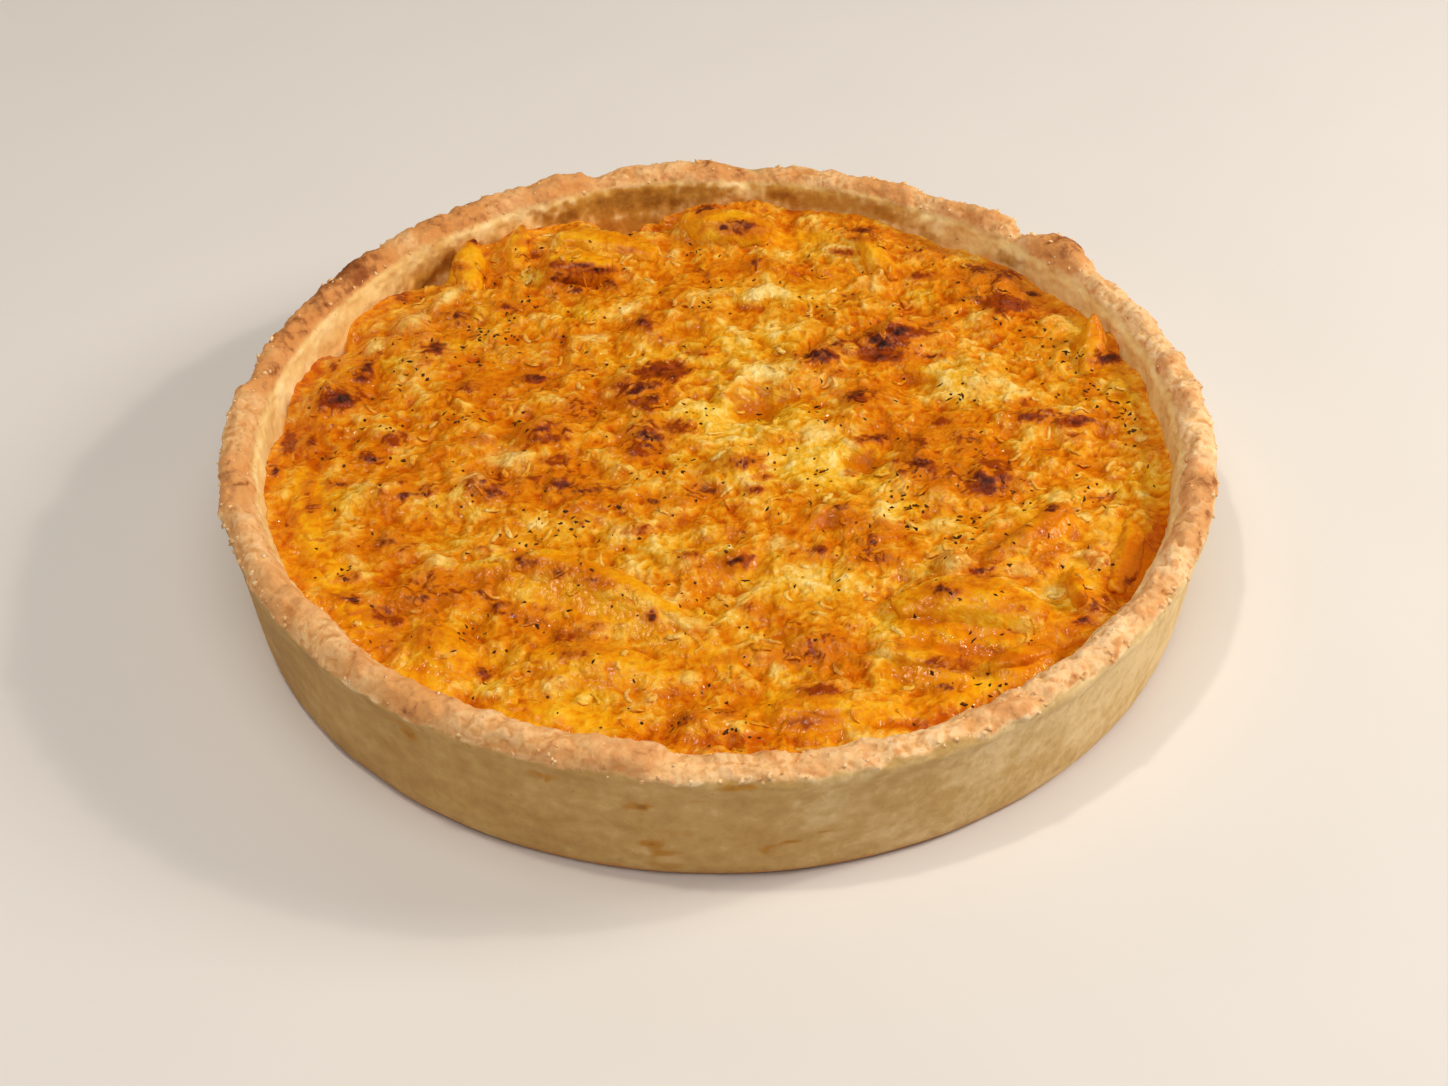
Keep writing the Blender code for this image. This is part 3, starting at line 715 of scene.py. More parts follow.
def plates(points, size, seed):
    """Broken flat pieces of the given size: each point's tilt height in its own piece, how near it
    is to the piece's edge, and the piece's own number from 0 to 1."""
    place = np.asarray(points, float) / size
    whole = np.floor(place).astype(np.int64)
    nearest = np.full(len(place), 9.0)
    second = np.full(len(place), 9.0)
    tilt = np.zeros(len(place))
    number = np.zeros(len(place))
    for step in np.ndindex(3, 3, 3):
        at = whole + np.array(step) - 1
        i, j, k = at[:, 0], at[:, 1], at[:, 2]
        middle = np.stack(
            [at[:, axis] + hashed(i, j, k, seed + axis) for axis in range(3)], axis=1
        )
        away = place - middle
        distance = np.sqrt((away**2).sum(axis=1))
        closer = distance < nearest
        second = np.where(closer, nearest, np.minimum(second, distance))
        way = 2 * np.pi * hashed(i, j, k, seed + 5)
        lean = away[:, 0] * np.cos(way) + away[:, 1] * np.sin(way)
        tilt = np.where(closer, lean, tilt)
        number = np.where(closer, hashed(i, j, k, seed + 9), number)
        nearest = np.where(closer, distance, nearest)
    return tilt, second - nearest, number


def seen_places(points):
    """Where each point shows on the level plane, looking from the camera."""
    share = (LEVEL - EYE[2]) / (points[:, 2] - EYE[2])
    return EYE[:2] + (points[:, :2] - EYE[:2]) * share[:, None]


def patch_mask(places, spots, rough, raggedness=0.35, inner=0.5, outer=1.2):
    """How much each place lies in any of the listed oval spots, with ragged edges."""
    total = np.zeros(len(places))
    for x, y, long, wide, turn, strength in spots:
        away = places - (x, y)
        near = np.abs(away).max(axis=1) < 1.7 * max(long, wide)
        if not near.any():
            continue
        turned = math.radians(turn)
        along = away[near, 0] * math.cos(turned) + away[near, 1] * math.sin(turned)
        across = away[near, 1] * math.cos(turned) - away[near, 0] * math.sin(turned)
        distance = np.sqrt((along / long) ** 2 + (across / wide) ** 2)
        distance = distance + raggedness * rough[near]
        mask = strength * (1 - smooth_step(inner, outer, distance))
        total[near] = np.maximum(total[near], mask)
    return total


def turn_from(angle, at):
    """How many degrees each angle is turned from the given one, -180 to 180."""
    return (angle - at + 180) % 360 - 180


def wall_mask(angle, height, stains, rough):
    """How much each place on the wall lies in any of the listed stains."""
    total = np.zeros(len(angle))
    for at, level, wide, tall, strength in stains:
        across = turn_from(angle, at)
        distance = np.sqrt((across / wide) ** 2 + ((height - level) / tall) ** 2)
        distance = distance + 0.4 * rough
        total = np.maximum(total, strength * (1 - smooth_step(0.1, 1.35, distance)))
    return total


def read_mesh(mesh):
    """(points in millimetres, triangles) of a mesh."""
    mesh.calc_loop_triangles()
    points = np.empty(len(mesh.vertices) * 3)
    mesh.vertices.foreach_get("co", points)
    corners = np.empty(len(mesh.loop_triangles) * 3, np.int32)
    mesh.loop_triangles.foreach_get("vertices", corners)
    return points.reshape(-1, 3) / MM, corners.reshape(-1, 3)


def node_mesh(name):
    """(points in millimetres, triangles) of a CAD node."""
    return read_mesh(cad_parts[name].data)


def tree_of(meshes):
    """A search tree over several meshes, in millimetres."""
    points, faces, start = [], [], 0
    for places, corners in meshes:
        points.append(places)
        faces.append(corners + start)
        start += len(places)
    return BVHTree.FromPolygons(
        np.concatenate(points).tolist(), np.concatenate(faces).tolist()
    )


def make_object(name, points, faces, replaced=None):
    """A mesh object that rides on the tart's one body. points are in millimetres."""
    mesh = bpy.data.meshes.new(name)
    mesh.from_pydata((np.asarray(points) * MM).tolist(), [], faces)
    mesh.update()
    mesh.shade_smooth()
    piece = bpy.data.objects.new(name, mesh)
    bpy.context.scene.collection.objects.link(piece)
    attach(piece, "root")
    if replaced:
        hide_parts(replaced)
    return piece


def keep_masks(piece, masks, hidden=0):
    """Stores each mask, a number for each point, which a material reads. The last points, as
    many as hidden, never show and get 0."""
    for name, values in masks.items():
        stored = piece.data.attributes.new(name, "FLOAT", "POINT")
        padded = np.concatenate([values, np.zeros(hidden)])
        stored.data.foreach_set("value", np.clip(padded, 0, 1).astype(np.float32))


def blurred(field, times, mask=None):
    """The grid's numbers, each moved towards its neighbours' average some times."""
    for _ in range(times):
        edged = np.pad(field, 1, mode="edge")
        average = (
            edged[:-2, 1:-1] + edged[2:, 1:-1] + edged[1:-1, :-2] + edged[1:-1, 2:]
        ) / 4
        changed = 0.5 * field + 0.5 * average
        field = changed if mask is None else np.where(mask, changed, field)
    return field


def round_grid(steps):
    """x and y of a square grid bent into a disc of radius 1, with cells of even size."""
    side = np.linspace(-1, 1, steps + 1)
    a, b = np.meshgrid(side, side, indexing="ij")
    wide = np.abs(a) > np.abs(b)
    radius = np.where(wide, a, b)
    other = np.where(wide, b, a)
    ratio = other / np.where(radius == 0, 1, radius)
    angle = np.where(wide, ratio * np.pi / 4, np.pi / 2 - ratio * np.pi / 4)
    return radius * np.cos(angle), radius * np.sin(angle)


def grid_faces(rows, columns):
    """Four-sided faces of a grid of points."""
    index = np.arange(rows * columns).reshape(rows, columns)
    here, after = index[:, :-1], index[:, 1:]
    return np.stack(
        [here[:-1].ravel(), here[1:].ravel(), after[1:].ravel(), after[:-1].ravel()],
        axis=1,
    )


def filling_reach(tree, angles):
    """The radius of the CAD filling's side at each angle, from level rays under the slices."""
    found = []
    for angle in angles:
        outward = Vector((math.cos(angle), math.sin(angle), 0))
        start = outward * 140 + Vector((0, 0, REACH_LEVEL))
        place = tree.ray_cast(start, -outward)[0]
        found.append(math.hypot(place.x, place.y) + WALL_LEAN)
    return np.array(found)


def heights_below(tree, x, y):
    """The height of the first surface straight below each place, or -1 where there is none."""
    down = Vector((0, 0, -1))
    found = np.full(x.size, -1.0)
    for at, (px, py) in enumerate(zip(x.ravel(), y.ravel())):
        place = tree.ray_cast(Vector((px, py, SKY)), down)[0]
        if place is not None:
            found[at] = place.z
    return found.reshape(x.shape)


def curds(points, size, seed):
    """Rounded grains of the given size, from 0 between them to 1 on their tops."""
    place = np.asarray(points, float) / size
    whole = np.floor(place).astype(np.int64)
    nearest = np.full(len(place), 9.0)
    for step in np.ndindex(3, 3, 3):
        at = whole + np.array(step) - 1
        i, j, k = at[:, 0], at[:, 1], at[:, 2]
        distance = np.zeros(len(place))
        for axis in range(3):
            middle = at[:, axis] + hashed(i, j, k, seed + axis)
            distance += (place[:, axis] - middle) ** 2
        nearest = np.minimum(nearest, distance)
    return 1 - np.clip(nearest, 0, 1)


def swirled(points, size, reach, seed):
    """The points, each moved level by up to about the reach, so that what is drawn there curls."""
    aside = noise(points, size, seed)
    along = noise(points, size, seed + 1)
    return points + reach * np.stack([aside, along, 0 * aside], axis=1)


def gratin_relief(points, coarse):
    """The relief of the browned top in millimetres, its finest part, and its crisp flake edges."""
    bent = swirled(swirled(points, 7.5, 1.7, SEED + 31), 3.4, 0.45, SEED + 33)
    tilt, edge, number = plates(bent, 4.8, SEED + 40)
    flakes = (1.0 * tilt + 0.75 * (number - 0.5)) * smooth_step(0.0, 0.22, edge)
    strings = 0.9 * (ridged(bent, 6.5, SEED + 3) - 0.45)
    grains = 0.5 * (curds(bent, 2.2, SEED + 50) - 0.62)
    grains += 0.4 * (ridged(bent, 2.6, SEED + 6, 1) - 0.4)
    lumps = 1.45 * noise(points, 12, SEED + 1) + 0.9 * noise(bent, 5.8, SEED + 2)
    lumps += 1.35 * (curds(bent, 5.2, SEED + 55) - 0.62)
    crisp = smooth_step(0.15, 0.03, edge) * (number > 0.66)
    whole = lumps + strings * (0.45 + 0.55 * coarse) + flakes * coarse + grains
    return whole, grains, crisp


def top_masks(points, relief, fine, crisp):
    """The masks that colour the top, at points in millimetres."""
    seen = seen_places(points)
    rough = noise(points, 3.2, SEED + 60) + 0.6 * noise(points, 1.5, SEED + 61)
    broad = layered(points, 16, SEED + 62, 3)
    char = patch_mask(seen, CHAR_SPOTS, rough, 0.4, 0.35, 1.25)
    # These areas are partly real browning and partly painted shade where the top falls in shadow.
    brown = patch_mask(seen, BROWN_AND_SHADE_AREAS, broad + 0.5 * rough, 0.45, 0.25, 1.4)
    halo = [(x, y, 2.1 * a + 1, 2.1 * b + 1, turn, s) for x, y, a, b, turn, s in CHAR_SPOTS]
    brown = np.maximum(brown, 1.05 * patch_mask(seen, halo, rough, 0.5, 0.15, 1.3))
    yellow = patch_mask(seen, YELLOW_AREAS, broad, 0.35, 0.3, 1.5)
    # Painted shade: the amber areas darken the tone and brown the colour a little in hollows and in
    # the gaps beside the wall.
    amber_and_shade = patch_mask(seen, AMBER_AND_SHADE_AREAS, rough, 0.2, 0.45, 1.25)
    # Painted shade: low places of the relief are given less yellow, as if they lay in shade.
    low = smooth_step(0.1, 1.5, 0.35 * broad - relief)
    peaks = smooth_step(0.3, 1.9, relief + 0.5 * broad)
    freckles = smooth_step(0.46, 0.9, noise(points, 3.8, SEED + 63) + 0.4 * rough)
    left = smooth_step(30, -70, points[:, 0])
    toast = 0.04 + 0.07 * left + 0.4 * brown + 0.5 * brown**2 + 0.55 * peaks * (0.12 + brown)
    toast += 0.5 * freckles * (0.35 + 0.65 * left) + 0.12 * broad + 0.5 * crisp * (0.35 + brown)
    toast += 0.12 * amber_and_shade - 0.22 * yellow
    listed = patch_mask(seen, whole_spots(PALE_PIECES), broad, 0.5, 0.2, 1.3)
    scraps = smooth_step(0.45, 1.2, noise(points, 6.0, SEED + 65) + 0.3 * broad + 0.4 * relief)
    scraps *= (0.4 + 0.6 * yellow) * (1 - 0.7 * brown)
    pale = np.maximum(listed, scraps)
    toast *= 1 - 0.6 * pale * (1 - brown)
    # Painted light and shade: the tone is lighter on the crests of the relief and darker in its
    # cavities, and darker in the amber and shade areas.
    tone = 0.48 + 0.16 * layered(points, 9, SEED + 64, 3) + 0.5 * fine
    tone += 0.1 * np.clip(relief, -1.6, 1.8) - 0.3 * amber_and_shade
    flesh = patch_mask(seen, FLESH_AREAS, broad + 0.3 * rough, 0.35, 0.45, 1.25)
    return {
        "toast": toast,
        "char": char,
        "yellow": yellow * (1 - 0.6 * low),
        "pale": pale,
        "tone": tone,
        "flesh": flesh,
    }


def custard_level(slice_tree):
    """The custard before its relief: points level with the CAD filling that climb the slices, how
    far each slice stands out, and how far each point is from the wall."""
    filling_tree = tree_of([node_mesh("filling")])
    x, y = round_grid(TOP_STEPS)
    angles = np.radians(np.arange(720) / 2)
    reach = filling_reach(filling_tree, angles)
    angle = np.arctan2(y, x) % (2 * np.pi)
    radius = np.interp(angle, angles, reach, period=2 * np.pi)
    near_x, near_y = x * (radius - 0.5), y * (radius - 0.5)
    height = heights_below(filling_tree, near_x, near_y)
    slices = heights_below(slice_tree, near_x, near_y)
    covered = blurred((slices > 0).astype(float), 3) > 0.02
    height = np.where(covered, height[~covered].mean(), height)
    height = blurred(height, 900, covered)
    height = blurred(height, 10)
    hill = blurred(np.where(slices > 0, np.maximum(slices - height, 0), 0), 7)
    skirt = blurred(hill, 45)
    height = height + np.maximum(WRAP * hill, SKIRT * skirt)
    radius = radius + EDGE_OVERLAP
    x, y = x * radius, y * radius
    from_wall = (1 - np.hypot(x, y) / radius).ravel() * MEAN_REACH
    return np.stack([x.ravel(), y.ravel(), height.ravel()], axis=1), hill.ravel(), from_wall


def whole_spots(spots):
    """The spots, each at its full strength."""
    return [spot[:5] + (1.0,) for spot in spots]


def custard_relief(points, hill, from_wall):
    """The relief of the custard's top, its finest part, its crisp flakes, and two masks: where it
    is smooth, and where flesh shows."""
    flat = points * (1, 1, 0.4)
    coarse = smooth_step(-0.7, 0.5, layered(flat, 26, SEED + 70, 2))
    relief, fine, crisp = gratin_relief(flat, coarse)
    seen = seen_places(points)
    quiet = noise(flat, 5, SEED + 71)
    smooth = patch_mask(seen, whole_spots(HOLLOWS), quiet, 0.2, 0.35, 1.3)
    flesh = smooth_step(0.9, 3.2, hill + 0.5 * quiet)
    flesh = np.maximum(flesh, patch_mask(seen, FLESH_AREAS, quiet, 0.35, 0.45, 1.25))
    smooth = np.maximum(smooth, flesh)
    beside_wall = smooth_step(7, 1, from_wall)
    relief = relief * (1 - 0.88 * smooth) * (1 - 0.6 * beside_wall)
    relief -= 1.5 * patch_mask(seen, AMBER_AND_SHADE_AREAS, quiet, 0.5, 0.1, 1.5)
    for spot in HOLLOWS:
        relief -= 0.8 * spot[5] * patch_mask(seen, whole_spots([spot]), quiet, 0.5, 0.0, 1.5)
    for spot in PALE_PIECES:
        lifted = patch_mask(seen, whole_spots([spot]), quiet, 0.25, 0.2, 1.25)
        relief = relief * (1 - 0.45 * lifted) + spot[5] * lifted
    relief += 0.7 * patch_mask(seen, CHAR_SPOTS, quiet, 0.3, 0.1, 1.4)
    climb = 0.5 + 0.5 * noise(flat, 11, SEED + 72)
    relief += 0.7 * climb * smooth_step(2.2, 0.3, from_wall)
    return relief, fine, crisp, smooth, flesh


def make_custard(slice_tree):
    """The custard: the CAD filling's level under the browned relief of its top."""
    points, hill, from_wall = custard_level(slice_tree)
    relief, fine, crisp, smooth, flesh = custard_relief(points, hill, from_wall)
    points[:, 2] += relief

    faces = grid_faces(TOP_STEPS + 1, TOP_STEPS + 1).tolist()
    index = np.arange((TOP_STEPS + 1) ** 2).reshape(TOP_STEPS + 1, TOP_STEPS + 1)
    edge = np.concatenate([index[:-1, 0], index[-1, :-1], index[:0:-1, -1], index[0, :0:-1]])
    below = points[edge] * (0.975, 0.975, 0) + (0, 0, UNDERSIDE)
    ring = np.arange(len(edge)) + len(points)
    after = np.roll(np.arange(len(edge)), -1)
    faces += np.stack([edge, ring, ring[after], edge[after]], axis=1).tolist()
    faces.append(ring[::-1].tolist())
    everything = np.concatenate([points, below])
    piece = make_object("baked_custard", everything, faces, "filling")
    masks = top_masks(points, relief, fine * (1 - smooth), crisp * (1 - smooth))
    masks["toast"] *= 1 - 0.35 * flesh
    masks["pale"] *= 1 - 0.8 * flesh
    masks["flesh"] = flesh
    keep_masks(piece, masks, len(below))
    return piece


def remeshed(name, voxel):
    """(points, normals, faces) of a CAD node, made again in even four-sided faces and rounded."""
    points, faces = node_mesh(name)
    mesh = bpy.data.meshes.new("shaping")
    mesh.from_pydata((points * MM).tolist(), [], faces.tolist())
    shaping = bpy.data.objects.new("shaping", mesh)
    bpy.context.scene.collection.objects.link(shaping)
    weld = shaping.modifiers.new("weld", "WELD")
    weld.merge_threshold = 1e-5
    again = shaping.modifiers.new("again", "REMESH")
    again.mode = "VOXEL"
    again.voxel_size = voxel * MM
    rounding = shaping.modifiers.new("rounding", "SMOOTH")
    rounding.factor = 0.5
    rounding.iterations = 5
    graph = bpy.context.evaluated_depsgraph_get()
    made = shaping.evaluated_get(graph).to_mesh()
    found = np.empty(len(made.vertices) * 3)
    made.vertices.foreach_get("co", found)
    normals = np.empty(len(made.vertices) * 3)
    made.vertices.foreach_get("normal", normals)
    corners = [list(face.vertices) for face in made.polygons]
    bpy.data.objects.remove(shaping)
    return found.reshape(-1, 3) / MM, normals.reshape(-1, 3), corners


def make_slice(node, custard_tree):
    """One slice of pumpkin: smooth orange flesh, browned on its crest and beside the custard."""
    points, normals, faces = remeshed(node, SLICE_VOXEL)
    level = heights_below(custard_tree, points[:, 0], points[:, 1])
    above = points[:, 2] - np.where(level < 0, LEVEL, level)
    gratin = 1 - smooth_step(0.0, 1.6, above + 0.8 * noise(points, 5, SEED + 80))
    relief, fine, crisp = gratin_relief(points * (1, 1, 0.6), 0.5 * np.ones(len(points)))
    soft = 0.45 * noise(points, 8, SEED + 81) + 0.2 * noise(points, 3.2, SEED + 82)
    fibres = 0.1 * ridged(points * (1, 1, 2.5), 2.4, SEED + 83)
    moved = (soft + fibres) * (1 - gratin) + relief * (0.12 + 0.4 * gratin)
    sunk = smooth_step(-4, -1, above)
    points = points + normals * (moved * sunk)[:, None]
    piece = make_object(node.replace("pumpkin_", "") + "_slice", points, faces, node)
    masks = top_masks(points, 0.4 * relief, fine * (0.2 + 0.8 * gratin), crisp * gratin)
    crest = smooth_step(0.35, 0.9, normals[:, 2]) * smooth_step(2.0, 5.0, above)
    edge = noise(points, 4, SEED + 84)
    masks["toast"] = masks["toast"] * (0.8 + 0.2 * gratin) + 0.16 * crest * (1 + edge)
    masks["char"] *= 0.85
    masks["flesh"] = np.maximum(masks["flesh"], 1 - gratin)
    masks["pale"] *= 0.3 + 0.7 * gratin
    keep_masks(piece, masks)
    return piece


def case_profile(tree, angle):
    """Points down the case at one angle: up the outer wall, over the rim, down the inner wall."""
    outward = Vector((math.cos(angle), math.sin(angle), 0))
    found = []
    for height in np.linspace(0.25, RIM_CENTRE[1], WALL_ROWS, endpoint=False):
        start = outward * 145 + Vector((0, 0, height))
        found.append(tree.ray_cast(start, -outward)[0])
    centre = outward * RIM_CENTRE[0] + Vector((0, 0, RIM_CENTRE[1]))
    for turn in np.linspace(0, math.pi, RIM_ROWS, endpoint=False):
        way = outward * math.cos(turn) + Vector((0, 0, math.sin(turn)))
        hit = tree.ray_cast(centre + way * RIM_RAY, -way)[0]
        found.append(hit if hit is not None else centre + way * 6)
    for height in np.linspace(RIM_CENTRE[1], INSIDE_FOOT, INSIDE_ROWS):
        start = outward * 60 + Vector((0, 0, height))
        found.append(tree.ray_cast(start, outward)[0])
    return found


def case_grid():
    """Points round the case and down it, smoothed, and the way out of the crust at each."""
    tree = tree_of([node_mesh("crust")])
    angles = np.linspace(0, 2 * np.pi, CASE_TURNS, endpoint=False)
    grid = np.array([[tuple(place) for place in case_profile(tree, a)] for a in angles])
    for _ in range(5):
        grid = 0.5 * grid + 0.25 * (np.roll(grid, 1, axis=0) + np.roll(grid, -1, axis=0))
    for _ in range(2):
        inner = grid[:, 1:-1] * 0.5 + 0.25 * (grid[:, :-2] + grid[:, 2:])
        grid = np.concatenate([grid[:, :1], inner, grid[:, -1:]], axis=1)
    around = np.roll(grid, -1, axis=0) - np.roll(grid, 1, axis=0)
    along = np.gradient(grid, axis=1)
    normals = np.cross(around, along)
    normals /= np.linalg.norm(normals, axis=2, keepdims=True)
    return grid, normals


def case_forms(points, row):
    """The parts of the case and the forms on it: a number for each point, by name."""
    angle = np.degrees(np.arctan2(points[:, 1], points[:, 0])) % 360
    height = points[:, 2]
    outside = smooth_step(WALL_ROWS + 9, WALL_ROWS + 5, row)
    inside = smooth_step(WALL_ROWS + RIM_ROWS - 12, WALL_ROWS + RIM_ROWS - 5, row)
    over = row > WALL_ROWS + RIM_ROWS // 2
    ragged = noise(points, 9, SEED + 90) + 0.8 * noise(points, 3.2, SEED + 91)
    level = height - TOASTED_FROM - 1.25 * ragged
    rim = np.where(over, 1 - inside, smooth_step(-0.4, 0.5, level))
    crumbly = smooth_step(
        -0.3, 0.6, noise(points, 4.2, SEED + 105) + 0.5 * noise(points, 2.0, SEED + 106)
    )
    brink = np.exp(-(((level - 0.9) / 1.1) ** 2)) * outside * crumbly
    pitted = smooth_step(0.3, 0.62, noise(points, 2.8, SEED + 107) + 0.2 * ragged)
    pitted *= smooth_step(24, 12, np.abs(turn_from(angle, PITS_AT))) * rim
    tilt, edge, number = plates(points, 3.4, SEED + 92)
    flakes = (0.55 * tilt + 0.5 * (number - 0.5)) * smooth_step(0, 0.2, edge)
    grit_edge, grit_number = plates(points, 1.5, SEED + 93)[1:]
    grit = 0.5 * smooth_step(0.05, 0.5, grit_edge) * grit_number
    knobs = 0.85 * noise(points, 5.5, SEED + 94) + 0.55 * noise(points, 2.4, SEED + 95)
    cracks = smooth_step(0.9, 1.0, 1 - np.abs(noise(points * (1, 1, 1.6), 9, SEED + 96)))
    cracks *= smooth_step(-0.1, 0.5, noise(points, 12, SEED + 111))
    return SimpleNamespace(
        angle=angle,
        height=height,
        outside=outside,
        inside=inside,
        over=over,
        rim=rim,
        brink=brink,
        pitted=pitted,
        flakes=flakes,
        knobs=knobs,
        cracks=cracks,
        rim_relief=knobs + 0.35 * flakes + 0.42 * grit - 0.3 * cracks,
    )


def case_relief(points, forms):
    """How far each point of the case moves outwards."""
    wall_relief = 0.28 * noise(points, 14, SEED + 97) + 0.07 * noise(points, 1.7, SEED + 98)
    wall_relief += 0.1 * noise(points * (1, 1, 2), 4, SEED + 99)
    inner_relief = 0.6 * noise(points * (1, 1, 0.6), 6, SEED + 100)
    inner_relief += 0.34 * noise(points, 2.4, SEED + 101) + 0.34 * forms.flakes
    relief = wall_relief * forms.outside * (1 - forms.rim) + forms.rim_relief * forms.rim
    relief += inner_relief * forms.inside
    relief += 0.35 * forms.rim * forms.outside + 0.42 * forms.brink - 0.9 * forms.pitted
    lip = smooth_step(15, 7, np.abs(turn_from(forms.angle, FRONT_LIP_AT))) * forms.rim
    relief += 1.3 * lip * forms.over
    return relief * smooth_step(-0.2, 2.5, forms.height)


def case_masks(points, forms):
    """The masks that colour the case, at points in millimetres."""
    angle, height, rim = forms.angle, forms.height, forms.rim
    outside, inside = forms.outside, forms.inside
    rough = noise(points, 3.0, SEED + 102) + 0.5 * noise(points, 1.3, SEED + 103)
    broad = layered(points, 18, SEED + 104, 3)
    stain = wall_mask(angle, height, WALL_STAINS, rough) * outside
    stain = np.maximum(stain, wall_mask(angle, height, INSIDE_STAINS_AND_SHADE, rough) * inside)
    # Painted shade: the low part of the inner wall is darkened, where shade falls deep in the case.
    low_inside_shade = smooth_step(31, 24, height + 1.5 * broad) * inside
    stain = np.maximum(stain, 0.5 * low_inside_shade * smooth_step(-0.3, 0.6, broad))
    stain = np.maximum(stain, 0.45 * forms.pitted)
    toast = 0.14 + 0.24 * broad + 0.16 * rough + 0.3 * np.clip(forms.knobs, 0, 1)
    toast += 0.25 * forms.cracks
    for at, reach, strength in RIM_TOASTS:
        across = np.abs(turn_from(angle, at)) + 1.2 * rough
        toast += 0.55 * strength * (1 - smooth_step(0.3 * reach, 1.2 * reach, across))
    foot = smooth_step(3.6, 0.6, height + 0.8 * rough) * outside
    streaks = noise(swirled(points, 8, 3.0, SEED + 108) * (1, 1, 2.2), 7, SEED + 110)
    # Painted light: the wall and rim are painted paler towards the right, where the light falls.
    painted_light_side = (0.5 + 0.5 * np.cos(np.radians(angle - PAINTED_LIGHT_AT))) ** 2
    tone = 0.48 + 0.1 * broad + 0.07 * rough + 0.16 * rim * np.clip(forms.rim_relief, -1, 1)
    tone += (1 - rim) * outside * (0.07 * streaks + 0.28 * painted_light_side - 0.06)
    tone += 0.16 * painted_light_side * rim + 0.26 * forms.brink - 0.06 * forms.cracks * rim
    tone += 0.14 * inside * noise(points, 5, SEED + 112)
    return {
        "toast": toast * rim * (1 - 0.85 * forms.brink) + 0.42 * foot,
        "rim": rim,
        "inside": inside,
        "stain": stain,
        "tone": tone,
    }


def make_case():
    """The shortcrust case: sandy outer wall, toasted knobbly rim, and creamy inner wall."""
    grid, normals = case_grid()
    rows = grid.shape[1]
    points, normals = grid.reshape(-1, 3), normals.reshape(-1, 3)
    forms = case_forms(points, np.tile(np.arange(rows), CASE_TURNS))
    points = points + normals * case_relief(points, forms)[:, None]

    faces = grid_faces(CASE_TURNS, rows)
    index = np.arange(CASE_TURNS * rows).reshape(CASE_TURNS, rows)
    seam = np.stack([index[-1, :-1], index[0, :-1], index[0, 1:], index[-1, 1:]], axis=1)
    faces = np.concatenate([faces, seam]).tolist()
    foot = points[index[:, 0]] * (1, 1, 0) * 0.993
    floor = points[index[:, -1]] * (0.97, 0.97, 0) + (0, 0, 5)
    low = len(points) + np.arange(CASE_TURNS)
    high = low + CASE_TURNS
    for first, second in ((low, index[:, 0]), (index[:, -1], high)):
        band = np.stack([first, second, np.roll(second, -1), np.roll(first, -1)], axis=1)
        faces += band[:, ::-1].tolist()
    faces.append(low[::-1].tolist())
    faces.append(high.tolist())
    everything = np.concatenate([points, foot, floor])
    piece = make_object("pastry_case", everything, faces, "crust")
    keep_masks(piece, case_masks(points, forms), 2 * CASE_TURNS)
    return piece


def mesh_tree(pieces):
    """A search tree over finished pieces, in millimetres."""
    return tree_of([read_mesh(piece.data) for piece in pieces])


def on_top(tree, x, y):
    """(place, normal) of the finished top straight below x, y."""
    place, normal = tree.ray_cast(Vector((x, y, SKY)), Vector((0, 0, -1)))[:2]
    return place, normal


def seen_on_top(tree, x, y):
    """(place, normal) on the finished top that shows at x, y of the level plane."""
    eye = Vector(EYE)
    way = (Vector((x, y, LEVEL)) - eye).normalized()
    return tree.ray_cast(eye, way)[:2]


def strip(start, heading, length, width, thickness, curl, tree, lift, draw):
    """(points, faces) of a thin bent shred that lies on the top."""
    steps = 5
    sections = []
    place = np.array(start, float)
    way = heading
    for step in range(steps):
        ground, normal = on_top(tree, place[0], place[1])
        if ground is None:
            return None
        share = step / (steps - 1)
        half = 0.5 * width * (0.35 + 0.65 * math.sin(math.pi * (0.12 + 0.76 * share)))
        rise = lift * (0.25 + math.sin(math.pi * share) * 0.75) + draw.uniform(-0.06, 0.1)
        side = np.array((-math.sin(way), math.cos(way), 0))
        roll = draw.uniform(-0.35, 0.35)
        side = side * math.cos(roll) + np.array((0, 0, math.sin(roll)))
        centre = np.array(ground) + np.array(normal) * rise
        up = np.array((0, 0, thickness * 0.5))
        low_left, low_right = centre - side * half - up, centre + side * half - up * 0.6
        high_right, high_left = centre + side * half * 0.8 + up, centre - side * half * 0.8 + up
        sections.append([low_left, low_right, high_right, high_left])
        place[0] += math.cos(way) * length / steps
        place[1] += math.sin(way) * length / steps
        way += curl / steps
    points = np.array(sections).reshape(-1, 3)
    faces = [(0, 3, 2, 1)]
    for step in range(steps - 1):
        low, high = 4 * step, 4 * step + 4
        for side_of in range(4):
            after = (side_of + 1) % 4
            faces.append((low + side_of, low + after, high + after, high + side_of))
    last = 4 * (steps - 1)
    faces.append((last, last + 1, last + 2, last + 3))
    return points, faces


def joined(parts):
    """One list of points and one of faces from several small meshes."""
    points, faces, start = [], [], 0
    for places, corners in parts:
        points.append(places)
        faces += [tuple(start + at for at in face) for face in corners]
        start += len(places)
    return np.concatenate(points), faces


